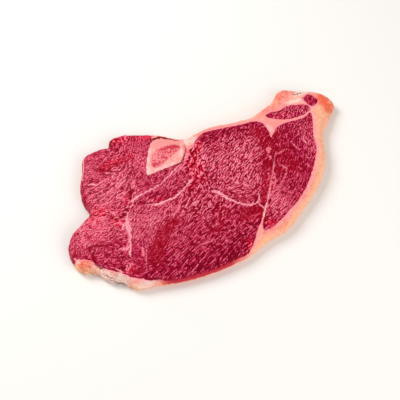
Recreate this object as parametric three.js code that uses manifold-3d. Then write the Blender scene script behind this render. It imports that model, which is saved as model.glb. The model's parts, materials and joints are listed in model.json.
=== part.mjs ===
// A raw beef rump steak: a thick slice with a ring of bone, several muscles and a rim of fat.
// Millimetres, +Z up. The underside lies flat on z = 0, +X runs along the length of the steak,
// and the origin is under the middle of its outline box.
import * as THREE from 'three';
import { mergeVertices } from 'three/addons/utils/BufferGeometryUtils.js';
import Module from 'manifold-3d';

const wasm = await Module();
wasm.setup();

// Driving sizes
const thickness = 16.4;      // the flat of the cut, between the swells
const waistHeight = 4.5;     // where the side bulges furthest out
const underInset = 3.2;      // how far the underside draws in from the side
const rollWidth = 8.5;       // how broadly the top edge rolls over
const longSideRoll = 6.0;    // extra roll on the long side, where the meat sags
const longSide = { x: -45, y: -100, alongX: 75, alongY: 45 };
const gap = 0.3;             // clearance between pieces that touch
const topGrid = 7;           // spacing of the top surface's points
const sideStep = 6;          // spacing of the points round the outline
const seamStep = 6;          // spacing of the points along a seam
const clear = 12;            // how far the cutting prisms stand above and below
const grooveRadius = 2.4;    // radius of the round-bottomed grooves along the seams
const grooveSides = 8;

// Broad swells and hollows of the cut surface: centre, half widths, height
const swells = [
  { x: 40, y: 22, alongX: 42, alongY: 34, rise: 2.6 },     // upper centre muscle
  { x: -42, y: -50, alongX: 55, alongY: 34, rise: 2.4 },   // lower centre muscle
  { x: 92, y: -16, alongX: 30, alongY: 40, rise: 1.4 },    // cap muscle
  { x: -100, y: 52, alongX: 30, alongY: 34, rise: 1.6 },   // left lobe
  { x: -140, y: -24, alongX: 22, alongY: 26, rise: 1.2 },  // corner lobe
  { x: -34, y: 54, alongX: 24, alongY: 18, rise: 1.5 },    // bone stands a little proud
  { x: 128, y: 76, alongX: 26, alongY: 16, rise: -4.0 },   // fat flap at the top
  { x: 166, y: 40, alongX: 16, alongY: 18, rise: -3.5 },   // fat flap at the far corner
  { x: 34, y: -50, alongX: 16, alongY: 12, rise: -2.2 },   // hollow where the seams meet
  { x: -122, y: 8, alongX: 12, alongY: 10, rise: -2.6 },   // cleft of the left lobe
  { x: -148, y: -62, alongX: 26, alongY: 14, rise: -2.4 }, // low fat at the corner
];

// Outline of the whole steak at its widest, seen from above
const steakOutline = [
  [-85, 93], [-73, 99], [-52, 93], [-29, 82], [-9, 68], [8, 69], [23, 71], [57, 66], [74, 65],
  [93, 71], [107, 77], [117, 87], [129, 88], [144, 79], [158, 71], [170, 58], [173, 46], [157, 29],
  [144, 16], [138, 4], [130, -17], [113, -39], [91, -57], [73, -69], [49, -83], [26, -87],
  [0, -96], [-15, -98], [-45, -99], [-75, -96], [-102, -90], [-123, -85], [-132, -75], [-147, -64],
  [-155, -52], [-169, -44], [-173, -30], [-172, -16], [-163, -1], [-147, 9], [-137, 17],
  [-139, 33], [-135, 53], [-128, 68], [-119, 87], [-103, 91],
];

// Outlines of the muscles, bone and marrow. A later one is cut by those before it.
const centreOutline = [
  [-101, -5], [-97, 3], [-89, 12], [-84, 27], [-76, 32], [-62, 33], [-41, 34], [-22, 35],
  [-8, 44], [3, 52], [9, 58], [17, 60], [40, 57], [66, 55], [76, 53], [82, 45], [82, 26],
  [74, 4], [60, -21], [47, -42], [35, -56], [27, -66], [15, -79], [1, -90.5], [-15, -95.4],
  [-45, -97.2], [-75, -94.2], [-96, -86.5], [-113, -79], [-115, -60], [-113, -44], [-106, -25],
];
const boneOutline = [
  [-63, 30], [-61, 42], [-52, 62], [-44, 78], [-38, 96], [-18, 90], [-4, 74], [-10, 62],
  [-11, 53], [-15, 43], [-22, 34], [-32, 31], [-48, 30],
];
const marrowOutline = [
  [-47, 59], [-38, 62], [-29, 61.5], [-21, 59], [-18, 54.5], [-23, 50.5], [-31, 48.5],
  [-35, 45], [-42, 43], [-50, 40.5], [-54, 41], [-54.5, 46],
];
const leftOutline = [
  [-137, 17], [-131, 12], [-125, 13], [-121, 8], [-118, -2], [-111, -7], [-98, -8], [-84, 6],
  [-70, 26], [-54, 36], [-42, 60], [-30, 94], [-50, 108], [-80, 112], [-112, 106], [-136, 92],
  [-148, 60], [-152, 28],
];
const cornerOutline = [
  [-124, 18], [-142, 23], [-164, 12], [-186, -2], [-186, -24], [-169, -31], [-158, -40],
  [-150, -50], [-142, -57], [-129, -67], [-124, -76], [-113, -77], [-109, -60], [-100, -36],
  [-96, -16], [-104, -2], [-114, 2],
];
const capOutline = [
  [138, 41], [135, 28], [127, 11], [123, -5], [112, -22], [93, -44], [76, -58], [60, -67],
  [44, -75], [32, -79], [24, -79], [25, -73], [33, -61], [45, -43], [57, -23], [71, 2],
  [81, 24], [87, 30], [94, 36], [105, 38.5], [119, 37], [131, 38],
];
const stripOutline = [
  [91, 57], [98, 59], [108, 56.5], [120, 59], [133, 54], [138, 50], [139, 45], [131, 41],
  [122, 40], [113, 41], [104, 43.5], [95, 49],
];
const tipOutline = [
  [139, 61], [148, 63], [152, 59], [155, 52], [147, 47.5], [143, 50], [141, 55],
];

// Grooves where muscles meet, seen from above, with their depth
const seams = [
  { depth: 1.2, path: [[84, 27], [79, 12], [70, -4], [60, -20], [48, -41], [35, -56], [28, -68]] },
  { depth: 1.6, path: [[-140, 19], [-131, 12], [-125, 13], [-121, 8], [-118, -2], [-101, -5]] },
  { depth: 0.9, path: [[-101, -5], [-97, 3], [-89, 12], [-84, 27], [-76, 32], [-62, 33]] },
  { depth: 0.9, path: [[-102, -8], [-106, -25], [-113, -44], [-115, -60], [-114, -74]] },
  { depth: 0.8, path: [[-90, 7], [-80, 10], [-70, 15], [-57, 17], [-43, 23], [-29, 29]] },
  { depth: 0.8, path: [[-86, 6], [-72, -4], [-60, -5], [-47, -5], [-37, 2], [-24, 8]] },
  { depth: 1.0, path: [[-6, -13], [-1, -17], [5, -29], [13, -38], [24, -44], [35, -46]] },
  { depth: 0.6, path: [[-19, 36], [-21, 19], [-19, 0], [-13, -8], [-6, -13]] },
  { depth: 0.7, path: [[-150, -26], [-144, -28], [-134, -34]] },
  { depth: 0.6, path: [[-74, 63], [-85, 65], [-94, 61], [-103, 58], [-109, 56]] },
];

/** Points along the closed smooth curve through the given points, about one step apart, running
 * anticlockwise as seen from above. */
function smoothOutline(points, step) {
  const curve = new THREE.CatmullRomCurve3(
    points.map(([x, y]) => new THREE.Vector3(x, y, 0)), true, 'centripetal');
  const count = Math.round(curve.getLength() / step);
  const spaced = curve.getSpacedPoints(count).slice(0, count);
  return THREE.ShapeUtils.isClockWise(spaced) ? spaced.reverse() : spaced;
}

/** Unit vector at each point of an anticlockwise outline, pointing into it. */
function inwardNormals(points) {
  const count = points.length;
  return points.map((p, i) => {
    const before = points[(i + count - 1) % count];
    const after = points[(i + 1) % count];
    return new THREE.Vector3(before.y - after.y, after.x - before.x, 0).normalize();
  });
}

/** Solid from a triangle mesh that closes once its doubled points are merged. */
function solidFrom(geometry) {
  const bare = new THREE.BufferGeometry();
  bare.setAttribute('position', geometry.getAttribute('position'));
  bare.setIndex(geometry.getIndex());
  const merged = mergeVertices(bare, 1e-4);
  return new wasm.Manifold(new wasm.Mesh({
    numProp: 3,
    vertProperties: new Float32Array(merged.getAttribute('position').array),
    triVerts: new Uint32Array(merged.getIndex().array),
  }));
}

/** Upright prism over an outline, grown outwards by a margin. */
function prism(outline, margin = 0) {
  const points = smoothOutline(outline, seamStep);
  const normals = inwardNormals(points);
  const shape = new THREE.Shape(points.map(
    (p, i) => new THREE.Vector2(p.x - margin * normals[i].x, p.y - margin * normals[i].y)));
  const geometry = new THREE.ExtrudeGeometry(shape, {
    depth: thickness + 2 * clear, bevelEnabled: false, steps: 1,
  });
  geometry.translate(0, 0, -clear);
  return solidFrom(geometry);
}

/** Share of a bell-shaped swell, one at its centre, at a place in plan. */
function bell(x, y, swell) {
  const u = (x - swell.x) / swell.alongX;
  const v = (y - swell.y) / swell.alongY;
  return Math.exp(-u * u - v * v);
}

/** Width over which the top edge rolls down to the side. */
function rollAt(x, y) {
  return rollWidth + longSideRoll * bell(x, y, longSide);
}

/** Height of the cut surface away from the edges. */
function cutHeight(x, y) {
  return swells.reduce((height, swell) => height + swell.rise * bell(x, y, swell), thickness);
}

/** Distance from a place in plan to the outline, below zero outside it. */
function insetOf(x, y, points) {
  let nearest = Infinity;
  let inside = false;
  points.forEach((a, i) => {
    const b = points[(i + 1) % points.length];
    const along = THREE.MathUtils.clamp(
      ((x - a.x) * (b.x - a.x) + (y - a.y) * (b.y - a.y))
      / ((b.x - a.x) ** 2 + (b.y - a.y) ** 2), 0, 1);
    const dx = x - a.x - along * (b.x - a.x);
    const dy = y - a.y - along * (b.y - a.y);
    nearest = Math.min(nearest, Math.hypot(dx, dy));
    const crosses = (a.y > y) !== (b.y > y);
    if (crosses && x < a.x + (b.x - a.x) * (y - a.y) / (b.y - a.y)) {
      inside = !inside;
    }
  });
  return inside ? nearest : -nearest;
}

/** Top surface: the cut height, rolling down along a quarter ellipse to the side. Past the
 * ellipse's 45 degree point the roll goes on as its straight tangent. */
function topHeight(x, y, points) {
  const full = cutHeight(x, y);
  const roll = rollAt(x, y);
  const inset = insetOf(x, y, points);
  if (inset >= roll) {
    return full;
  }
  const drop = full - waistHeight;
  const tangentInset = roll * (1 - Math.SQRT1_2);
  if (inset >= tangentInset) {
    const k = 1 - inset / roll;
    return waistHeight + drop * Math.sqrt(1 - k * k);
  }
  const tangentHeight = waistHeight + drop * Math.SQRT1_2;
  return tangentHeight + (inset - tangentInset) * drop / roll;
}

/** Block under the top surface, on a square grid that reaches past the outline. */
function topBlock(points) {
  const box = new THREE.Box3().setFromPoints(points).expandByScalar(topGrid);
  const size = box.getSize(new THREE.Vector3());
  const columns = Math.ceil(size.x / topGrid);
  const rows = Math.ceil(size.y / topGrid);
  const block = new THREE.BoxGeometry(
    columns * topGrid, rows * topGrid, 1, columns, rows, 1);
  block.translate(box.min.x + columns * topGrid / 2, box.min.y + rows * topGrid / 2, 0);
  const position = block.getAttribute('position');
  for (let i = 0; i < position.count; i += 1) {
    const x = position.getX(i);
    const y = position.getY(i);
    const isTop = position.getZ(i) > 0;
    position.setZ(i, isTop ? Math.max(topHeight(x, y, points), 1) : -clear);
  }
  return solidFrom(block);
}

/** Inset and height of a point on the roll's quarter ellipse, by its angle above the waist. */
function rollPoint(roll, drop, degrees) {
  const angle = THREE.MathUtils.degToRad(degrees);
  return [roll * (1 - Math.cos(angle)), waistHeight + drop * Math.sin(angle)];
}

/** Triangles that fill one level ring of points, facing up or down. */
function capFaces(position, first, count, isTop) {
  const ring = [];
  for (let i = first; i < first + count; i += 1) {
    ring.push(new THREE.Vector2(position[3 * i], position[3 * i + 1]));
  }
  return THREE.ShapeUtils.triangulateShape(ring, []).flatMap(([a, b, c]) => {
    const facesUp = THREE.ShapeUtils.area([ring[a], ring[b], ring[c]]) > 0;
    const face = facesUp === isTop ? [a, b, c] : [a, c, b];
    return face.map((corner) => first + corner);
  });
}

/** Solid with the steak's side: rings of the outline, drawn in at the underside, widest at the
 * waist, following the roll up to its 45 degree point and then going straight up. */
function sideSolid(points) {
  const inward = inwardNormals(points);
  const rings = [
    () => [underInset, 0],
    () => [0.3 * underInset, 0.3 * waistHeight],
    () => [0, waistHeight],
    (roll, drop) => rollPoint(roll, drop, 22.5),
    (roll, drop) => rollPoint(roll, drop, 45),
    (roll, drop) => [rollPoint(roll, drop, 45)[0], thickness + clear],
  ];
  const count = points.length;
  const position = rings.flatMap((ring) => points.flatMap((p, i) => {
    const [inset, z] = ring(rollAt(p.x, p.y), cutHeight(p.x, p.y) - waistHeight);
    return [p.x + inset * inward[i].x, p.y + inset * inward[i].y, z];
  }));
  const index = [
    ...capFaces(position, 0, count, false),
    ...capFaces(position, (rings.length - 1) * count, count, true),
  ];
  for (let ring = 0; ring < rings.length - 1; ring += 1) {
    for (let i = 0; i < count; i += 1) {
      const a = ring * count + i;
      const b = ring * count + (i + 1) % count;
      index.push(a, b, b + count, a, b + count, a + count);
    }
  }
  const geometry = new THREE.BufferGeometry();
  geometry.setAttribute('position', new THREE.Float32BufferAttribute(position, 3));
  geometry.setIndex(index);
  return solidFrom(geometry);
}

/** Round rod that lies in the top surface along a seam, to cut its groove. */
function seamRod({ depth, path }, points) {
  const curve = new THREE.CatmullRomCurve3(path.map(([x, y]) => new THREE.Vector3(
    x, y, topHeight(x, y, points) + grooveRadius - depth)), false, 'centripetal');
  const section = new THREE.Shape(Array.from({ length: grooveSides }, (_, i) => {
    const angle = (2 * Math.PI * i) / grooveSides;
    return new THREE.Vector2(grooveRadius * Math.cos(angle), grooveRadius * Math.sin(angle));
  }));
  return solidFrom(new THREE.ExtrudeGeometry(section, {
    extrudePath: curve, steps: Math.ceil(curve.getLength() / seamStep), bevelEnabled: false,
  }));
}

/** The largest of a solid's separate bodies: scraps left by the cuts are dropped. */
function largestBody(solid) {
  return solid.decompose().sort((a, b) => b.volume() - a.volume())[0];
}

/** Named mesh of a solid, with its own material. */
function pieceMesh(name, solid, finish) {
  const mesh = largestBody(solid).getMesh();
  const geometry = new THREE.BufferGeometry();
  geometry.setAttribute('position', new THREE.BufferAttribute(mesh.vertProperties, 3));
  geometry.setIndex(new THREE.BufferAttribute(mesh.triVerts, 1));
  geometry.computeVertexNormals();
  const piece = new THREE.Mesh(geometry, new THREE.MeshStandardMaterial(finish));
  piece.name = name;
  return piece;
}

const leanFinish = { color: 0xc0385a, roughness: 0.42, metalness: 0 };
const fatFinish = { color: 0xf4b79c, roughness: 0.5, metalness: 0 };
const boneFinish = { color: 0xf3b3ae, roughness: 0.55, metalness: 0 };
const marrowFinish = { color: 0xe07f84, roughness: 0.6, metalness: 0 };

// Pieces in the order in which they cut their neighbours
const pieces = [
  { name: 'lean_centre', outline: centreOutline, finish: leanFinish },
  { name: 'marrow', outline: marrowOutline, finish: marrowFinish },
  { name: 'bone', outline: boneOutline, finish: boneFinish },
  { name: 'lean_left', outline: leftOutline, finish: leanFinish },
  { name: 'lean_corner', outline: cornerOutline, finish: leanFinish },
  { name: 'lean_cap', outline: capOutline, finish: leanFinish },
  { name: 'lean_strip', outline: stripOutline, finish: leanFinish },
  { name: 'lean_tip', outline: tipOutline, finish: leanFinish },
];

const rump = new THREE.Group();
const edgePoints = smoothOutline(steakOutline, sideStep);
let rest = sideSolid(edgePoints).intersect(topBlock(edgePoints));
seams.forEach((seam) => {
  rest = rest.subtract(seamRod(seam, edgePoints));
});
pieces.forEach(({ name, outline, finish }) => {
  rump.add(pieceMesh(name, rest.intersect(prism(outline)), finish));
  rest = rest.subtract(prism(outline, gap));
});
rump.add(pieceMesh('fat_rim', rest, fatFinish));

export default rump;
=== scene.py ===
"""Looks of a raw beef rump steak: moist muscles with a cut grain, pale seams, sawn bone and fat.

Shapes are worked out with numpy in millimetres and written to the meshes in metres. The steak is
one square lattice of small cells seen from above. Each cell belongs to one piece, each piece's
border is drawn onto its outline, and the same lattice gives its cut face and its underside.
"""
import json
import math

import bpy
import numpy as np
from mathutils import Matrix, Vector


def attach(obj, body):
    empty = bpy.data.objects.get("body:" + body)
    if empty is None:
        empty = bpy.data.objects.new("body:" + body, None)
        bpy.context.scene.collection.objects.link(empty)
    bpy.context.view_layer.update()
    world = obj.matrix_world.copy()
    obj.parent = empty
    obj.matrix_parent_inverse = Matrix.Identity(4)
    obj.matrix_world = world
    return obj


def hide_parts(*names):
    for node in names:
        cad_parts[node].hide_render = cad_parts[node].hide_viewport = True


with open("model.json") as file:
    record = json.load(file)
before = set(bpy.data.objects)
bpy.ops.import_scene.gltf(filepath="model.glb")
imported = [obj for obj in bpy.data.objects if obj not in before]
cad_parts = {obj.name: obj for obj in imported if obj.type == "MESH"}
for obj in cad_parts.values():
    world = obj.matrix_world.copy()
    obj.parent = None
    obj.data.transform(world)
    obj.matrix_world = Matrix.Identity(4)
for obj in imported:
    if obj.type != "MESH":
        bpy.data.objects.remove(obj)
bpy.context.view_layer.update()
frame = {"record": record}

MM = 0.001

# Driving sizes, in millimetres
CELL = 0.56            # side of a lattice cell
THICKNESS = 16.1       # the flat of the cut, between the swells
WAIST = 4.5            # height where the side bulges furthest out
UNDER_INSET = 3.2      # how far the underside draws in from the side
ROLL = 8.5             # width over which the top edge rolls over
EDGE_ANGLE = 42        # degrees up the roll's ellipse where the cut face ends and the side begins
LONG_SIDE_DROP = 32    # how many degrees less that is on the long side
EDGE_WOBBLE = 0.45     # how far the outer edge wanders where it isn't torn
EDGE_SHRINK = 0.35     # how far it is drawn in, so that it stays within the outline
SKIN = 1.05            # width of the thin skin of fat along the long side
ROLL_ROWS = 9          # rows of the side above the waist
UNDER_ROWS = 4         # rows of the side below it
FINE = 0.35            # spacing of the points along a finely sampled outline
COARSE = 3.0           # spacing of the points of a polygon for inside tests
FAR = 12.0             # distances to lines are kept up to this
BLOCK = 4_000_000      # pairs of places whose distance is worked out at once
LINE_STEP = 0.3        # spacing of the points along the lines in the cut face
UNDER_FADE = (1, 9)    # distances from the rim over which the underside's draw-in dies out
SEAM_DROP = 0.6        # how much further off a seam counts for each mm down the side

# The long side, where the meat sags: x, y, half widths, then the share of it or the extra roll
LONG_SIDE = [(-50, -100, 100, 60, 1.0)]
LONG_SIDE_ROLL = [(-45, -100, 75, 45, 6.0)]
LONG_SIDE_FROM = 0.5   # share from which the thin skin runs along it

# Broad swells and hollows of the cut face: x, y, half widths, height
SWELLS = [
    (40, 22, 42, 34, 2.6), (-42, -50, 55, 34, 2.4), (92, -16, 30, 40, 1.4), (-100, 52, 30, 34, 1.6),
    (-140, -24, 22, 26, 1.2), (-34, 54, 24, 18, 1.5), (128, 76, 26, 16, -4.0), (166, 40, 16, 18, -3.5),
    (34, -50, 16, 12, -2.2), (-122, 8, 12, 10, -2.6), (-148, -62, 26, 14, -2.4),
]

# Outlines seen from above
STEAK = [
    (-89.5, 89.2), (-87.4, 94), (-82.6, 98.8), (-74.5, 99.8), (-66, 98.6), (-52, 93), (-29, 82), (-9, 68),
    (8, 69), (23, 71), (57, 66), (74, 65), (93, 71), (107, 77), (117, 87), (129, 88), (144, 79),
    (158, 71), (170, 58), (173, 46), (157, 29), (144, 16), (138, 4), (130, -17), (113, -39), (91, -57),
    (73, -69), (49, -83), (26, -87), (0, -96), (-15, -98), (-45, -99), (-75, -96), (-102, -90),
    (-123, -85), (-132, -75), (-147, -64), (-155, -52), (-169, -44), (-173, -30), (-172, -16), (-163, -1),
    (-147, 9), (-137, 17), (-139, 33), (-135, 53), (-128, 68), (-119, 87), (-103, 90.5), (-92, 90),
]
CENTRE = [
    (-101, -5), (-97, 3), (-89, 12), (-84, 27), (-76, 32), (-62, 33), (-41, 34), (-22, 35), (-9, 45.5),
    (-2, 50.5), (4.5, 56.5), (11, 60.6), (19, 62), (32, 59.8), (44, 58.2), (60, 55.2), (72, 54.4),
    (78, 51.8), (82, 46.5), (82, 26), (74, 4), (60, -21), (47, -42), (35, -56), (27, -66), (15, -79),
    (4, -91), (-15, -101), (-45, -104), (-75, -99), (-96, -88.5), (-112.6, -81.4), (-115, -60),
    (-112.5, -46), (-109, -38), (-105.6, -28.4), (-104, -22.5), (-103.5, -16), (-101.8, -9),
]
BONE = [
    (-62.8, 33), (-60.5, 43.5), (-53, 58.5), (-45.2, 71), (-40.5, 79), (-36, 94), (-18, 90), (-4, 74),
    (-10, 62), (-11, 53), (-15, 43), (-23, 34.6), (-34, 33.8), (-48, 32),
]
MARROW = [
    (-54, 46), (-50, 53.5), (-46, 58), (-38, 61.5), (-28, 61.5), (-19.5, 58.8), (-16.5, 55.5), (-18, 51),
    (-24, 47.8), (-35, 44), (-44, 39.6), (-50, 38.5), (-54, 41),
]
LEFT = [
    (-137, 17), (-131, 12), (-125, 13), (-121, 8), (-118, -2), (-111, -7), (-98, -8), (-84, 6), (-70, 26),
    (-54, 36), (-42, 60), (-30, 94), (-50, 108), (-80, 112), (-112, 106), (-136, 92), (-148, 60),
    (-152, 28),
]
CORNER = [
    (-124, 18), (-142, 23), (-164, 12), (-186, -2), (-186, -46), (-174, -46), (-169, -42), (-168, -34.5),
    (-163.7, -36.2), (-159.5, -38.3), (-153, -44.4), (-147.8, -50.8), (-139.9, -58.6), (-131.5, -65.9),
    (-125.2, -72.8), (-116.7, -79.8), (-108.4, -82), (-106, -60), (-98, -36), (-94, -16), (-101, -1),
    (-114, 2),
]
CAP = [
    (138, 41), (135, 28), (127, 11), (123, -5), (112, -22), (93, -44), (76, -58), (60, -67), (44, -75),
    (32, -79), (24, -79), (25, -73), (33, -61), (45, -43), (57, -23), (71, 2), (81, 24), (87, 30),
    (94, 36), (105, 38.5), (119, 37), (131, 38),
]
STRIP = [
    (90, 56.4), (98, 58.2), (108, 57.2), (118.5, 60.2), (127, 58.2), (138.4, 53.6), (141.6, 49.4),
    (140, 44.6), (132, 41.3), (118, 40.8), (106, 43.6), (96.5, 48.6), (91, 53.6),
]
TIP = [
    (139.2, 63.4), (143.2, 65.2), (148.2, 66.4), (152, 62.8), (153.8, 58.4), (155.3, 54.6), (151.8, 50.8),
    (145.8, 48.4), (142, 51.2), (141, 57),
]

# Pale gristle lines in the cut face: x, y, half width (near zero where a line dies out)
PALE_LINES = [
    [(-94, 8, 0.4), (-89.5, 10, 1.2), (-84.8, 11.5, 1.1), (-77, 13.3, 0.5), (-67.5, 14.7, 0.3),
     (-57, 16.8, 0.4), (-50.4, 19.5, 0.4), (-42.2, 23.7, 0.4), (-33.7, 28.6, 0.5), (-25.8, 31.8, 0.3)],
    [(-77, -0.6, 0.1), (-73, -3.1, 0.4), (-68.7, -5.4, 1.1), (-62.5, -5.9, 1.3), (-58, -4.7, 0.9),
     (-52.3, -4.8, 0.6), (-47.9, -5.4, 0.7), (-43.5, -3.2, 1.0), (-39.7, -1.4, 0.8), (-35.2, 0.1, 0.5),
     (-31.7, 2.8, 0.4), (-26.7, 6.2, 0.7), (-22.8, 8.5, 1.0), (-20.5, 8.6, 0.8)],
    [(-40.1, 2.3, 0.1), (-40, -1.6, 0.5)],
    [(-5.5, -14.4, 1.3), (-1.5, -17.5, 1.6), (1.5, -22, 1.5), (6, -30, 1.1), (12, -37, 0.9),
     (17, -42, 0.8), (23, -44, 0.7), (29, -45, 0.6), (34, -43, 0.6), (37, -39, 0.5), (38.5, -33, 0.1)],
    [(32, -46, 0.3), (35, -50, 0.8), (36.5, -54.5, 1.0)],
    [(53, -33, 0.1), (45.5, -43.7, 0.5), (38.3, -53, 0.8), (33.6, -58, 1.1), (30.8, -62.5, 0.7)],
    [(-99.4, -2, 0.4), (-102.6, -8, 0.9), (-104.8, -14, 1.7), (-105.4, -20, 1.9), (-106.2, -26, 1.2),
     (-108.6, -34, 0.6), (-111.6, -42, 0.8), (-114.6, -48, 0.8), (-116.4, -54, 0.1)],
    [(-106, -12, 0.5), (-110, -16, 0.7), (-112.4, -21, 0.3)],
    [(-111, -42, 0.6), (-117, -43.4, 0.8), (-121.4, -41, 0.3)],
    [(-88, 10.4, 0.4), (-90.4, 6, 0.5), (-95.4, 2.6, 0.3)],
    [(-66, 14.8, 0.3), (-63, 12.6, 0.4)],
    [(-60, -5.4, 0.5), (-58.6, -8.4, 0.4)],
    [(-27, 6, 0.4), (-29, 9.6, 0.3)],
    [(114, 9, 0.5), (114.6, 5, 0.5)],
    [(-127, 46.9, 0.2), (-122.5, 45.2, 0.6), (-117, 43, 0.2)],
    [(-133.4, -58.7, 0.3), (-131, -65.5, 0.5)],
    [(-125.5, -64.2, 0.4), (-122, -60.7, 0.3)],
    [(-123.4, -67, 0.5), (-119.6, -62.4, 0.3)],
    [(117, 65.5, 0.3), (126, 65.3, 0.7), (134, 63.5, 0.7), (141, 61.5, 0.3)],
    [(119, 61.9, 0.2), (127, 62.6, 0.5), (133, 61, 0.2)],
    [(-157, -44, 0.2), (-151.6, -51.6, 0.5), (-146.8, -57.6, 0.5), (-139.8, -62.6, 0.2)],
    [(-154, -49, 0.1), (-147, -60, 0.7), (-137, -68, 0.6), (-128, -76, 0.2)],
    [(-154.4, -54, 0.1), (-147.6, -64, 0.5), (-139, -71, 0.6), (-131, -77, 0.2)],
    [(-170, -31, 0.6), (-167.6, -36.6, 0.9), (-166, -40, 0.3)],
    [(-126, -80, 0.3), (-118, -86, 0.8), (-108, -90, 0.3)],
    [(-162, -49, 0.3), (-158.6, -54.6, 0.5)],
]

# Soft pink streaks and patches: x, y, half width
PINK_LINES = [
    [(-103.5, -8, 0.6), (-106, -14, 1.5), (-107, -20, 2.3), (-107.4, -26, 1.0), (-110.5, -34, 0.5),
     (-114, -40, 0.9), (-116.5, -43.5, 2.0), (-120.5, -42.5, 1.0), (-124.5, -41, 0.1)],
    [(-110.4, -12, 0.2), (-110, -17, 0.5)],
    [(-33, 26.4, 0.6), (-29, 26.4, 1.3), (-24, 29, 0.6)],
    [(-26, 23.6, 0.4), (-21, 27, 0.7)],
    [(71.9, 12, 2.0), (70.8, 8.4, 2.2)],
    [(69.4, 2, 0.8), (69, 1, 0.8)],
    [(99.5, 11.8, 0.2), (100.9, 6, 0.45), (102.5, -0.7, 0.2)],
    [(76.6, 2.8, 0.3), (83.8, 3.8, 0.45), (90.6, 4.6, 0.1)],
    [(76.1, -12.6, 0.2), (77.4, -16, 0.5), (78.6, -18.6, 0.6), (77, -21.6, 0.5), (73.5, -26.8, 0.3),
     (68, -31.4, 0.3), (60.4, -36.6, 0.3), (53, -41, 0.3)],
    [(83, -16, 0.1), (78.8, -18.4, 0.4)],
    [(65, -14, 0.1), (63.4, -22, 0.4), (60.6, -29.3, 0.5), (54.5, -37, 0.4)],
    [(78, 6, 0.1), (70, -6, 0.5), (65, -14.6, 0.9), (59.5, -22.6, 0.6), (51.6, -34.4, 0.8),
     (45, -44, 0.7)],
    [(-45.7, -15.5, 0.4), (-47.6, -19, 1.0), (-52, -22.5, 0.8), (-57, -25.5, 0.4)],
    [(-101.6, -50, 1.0), (-103, -57, 1.1)],
    [(-98, -52.1, 0.1), (-102, -62.5, 0.25), (-106.6, -73.7, 0.1)],
    [(-42.5, -70.1, 0.2), (-36, -70, 0.4), (-29.7, -69.3, 0.2)],
    [(-17, -53.2, 0.2), (-24, -56, 0.4)],
    [(-83.1, 28.9, 0.5), (-78, 32.2, 0.7)],
    [(-20, 33, 0.5), (-15, 38.4, 1.0), (-12.6, 46, 0.8)],
    [(-117, 43, 0.5), (-104, 45, 0.2)],
    [(-130, 31, 0.1), (-118, 33, 0.5), (-108, 39, 0.2)],
    [(-126, 22.6, 0.1), (-112, 27.4, 0.5), (-99, 34, 0.1)],
    [(-104, 20, 0.1), (-97, 14, 0.4)],
    [(102.7, -22, 0.3), (102.9, -26, 0.4)],
    [(92.2, -21.6, 0.3), (93, -26, 0.3)],
    [(106, -12, 0.3), (107, -16, 0.4)],
]

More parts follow.
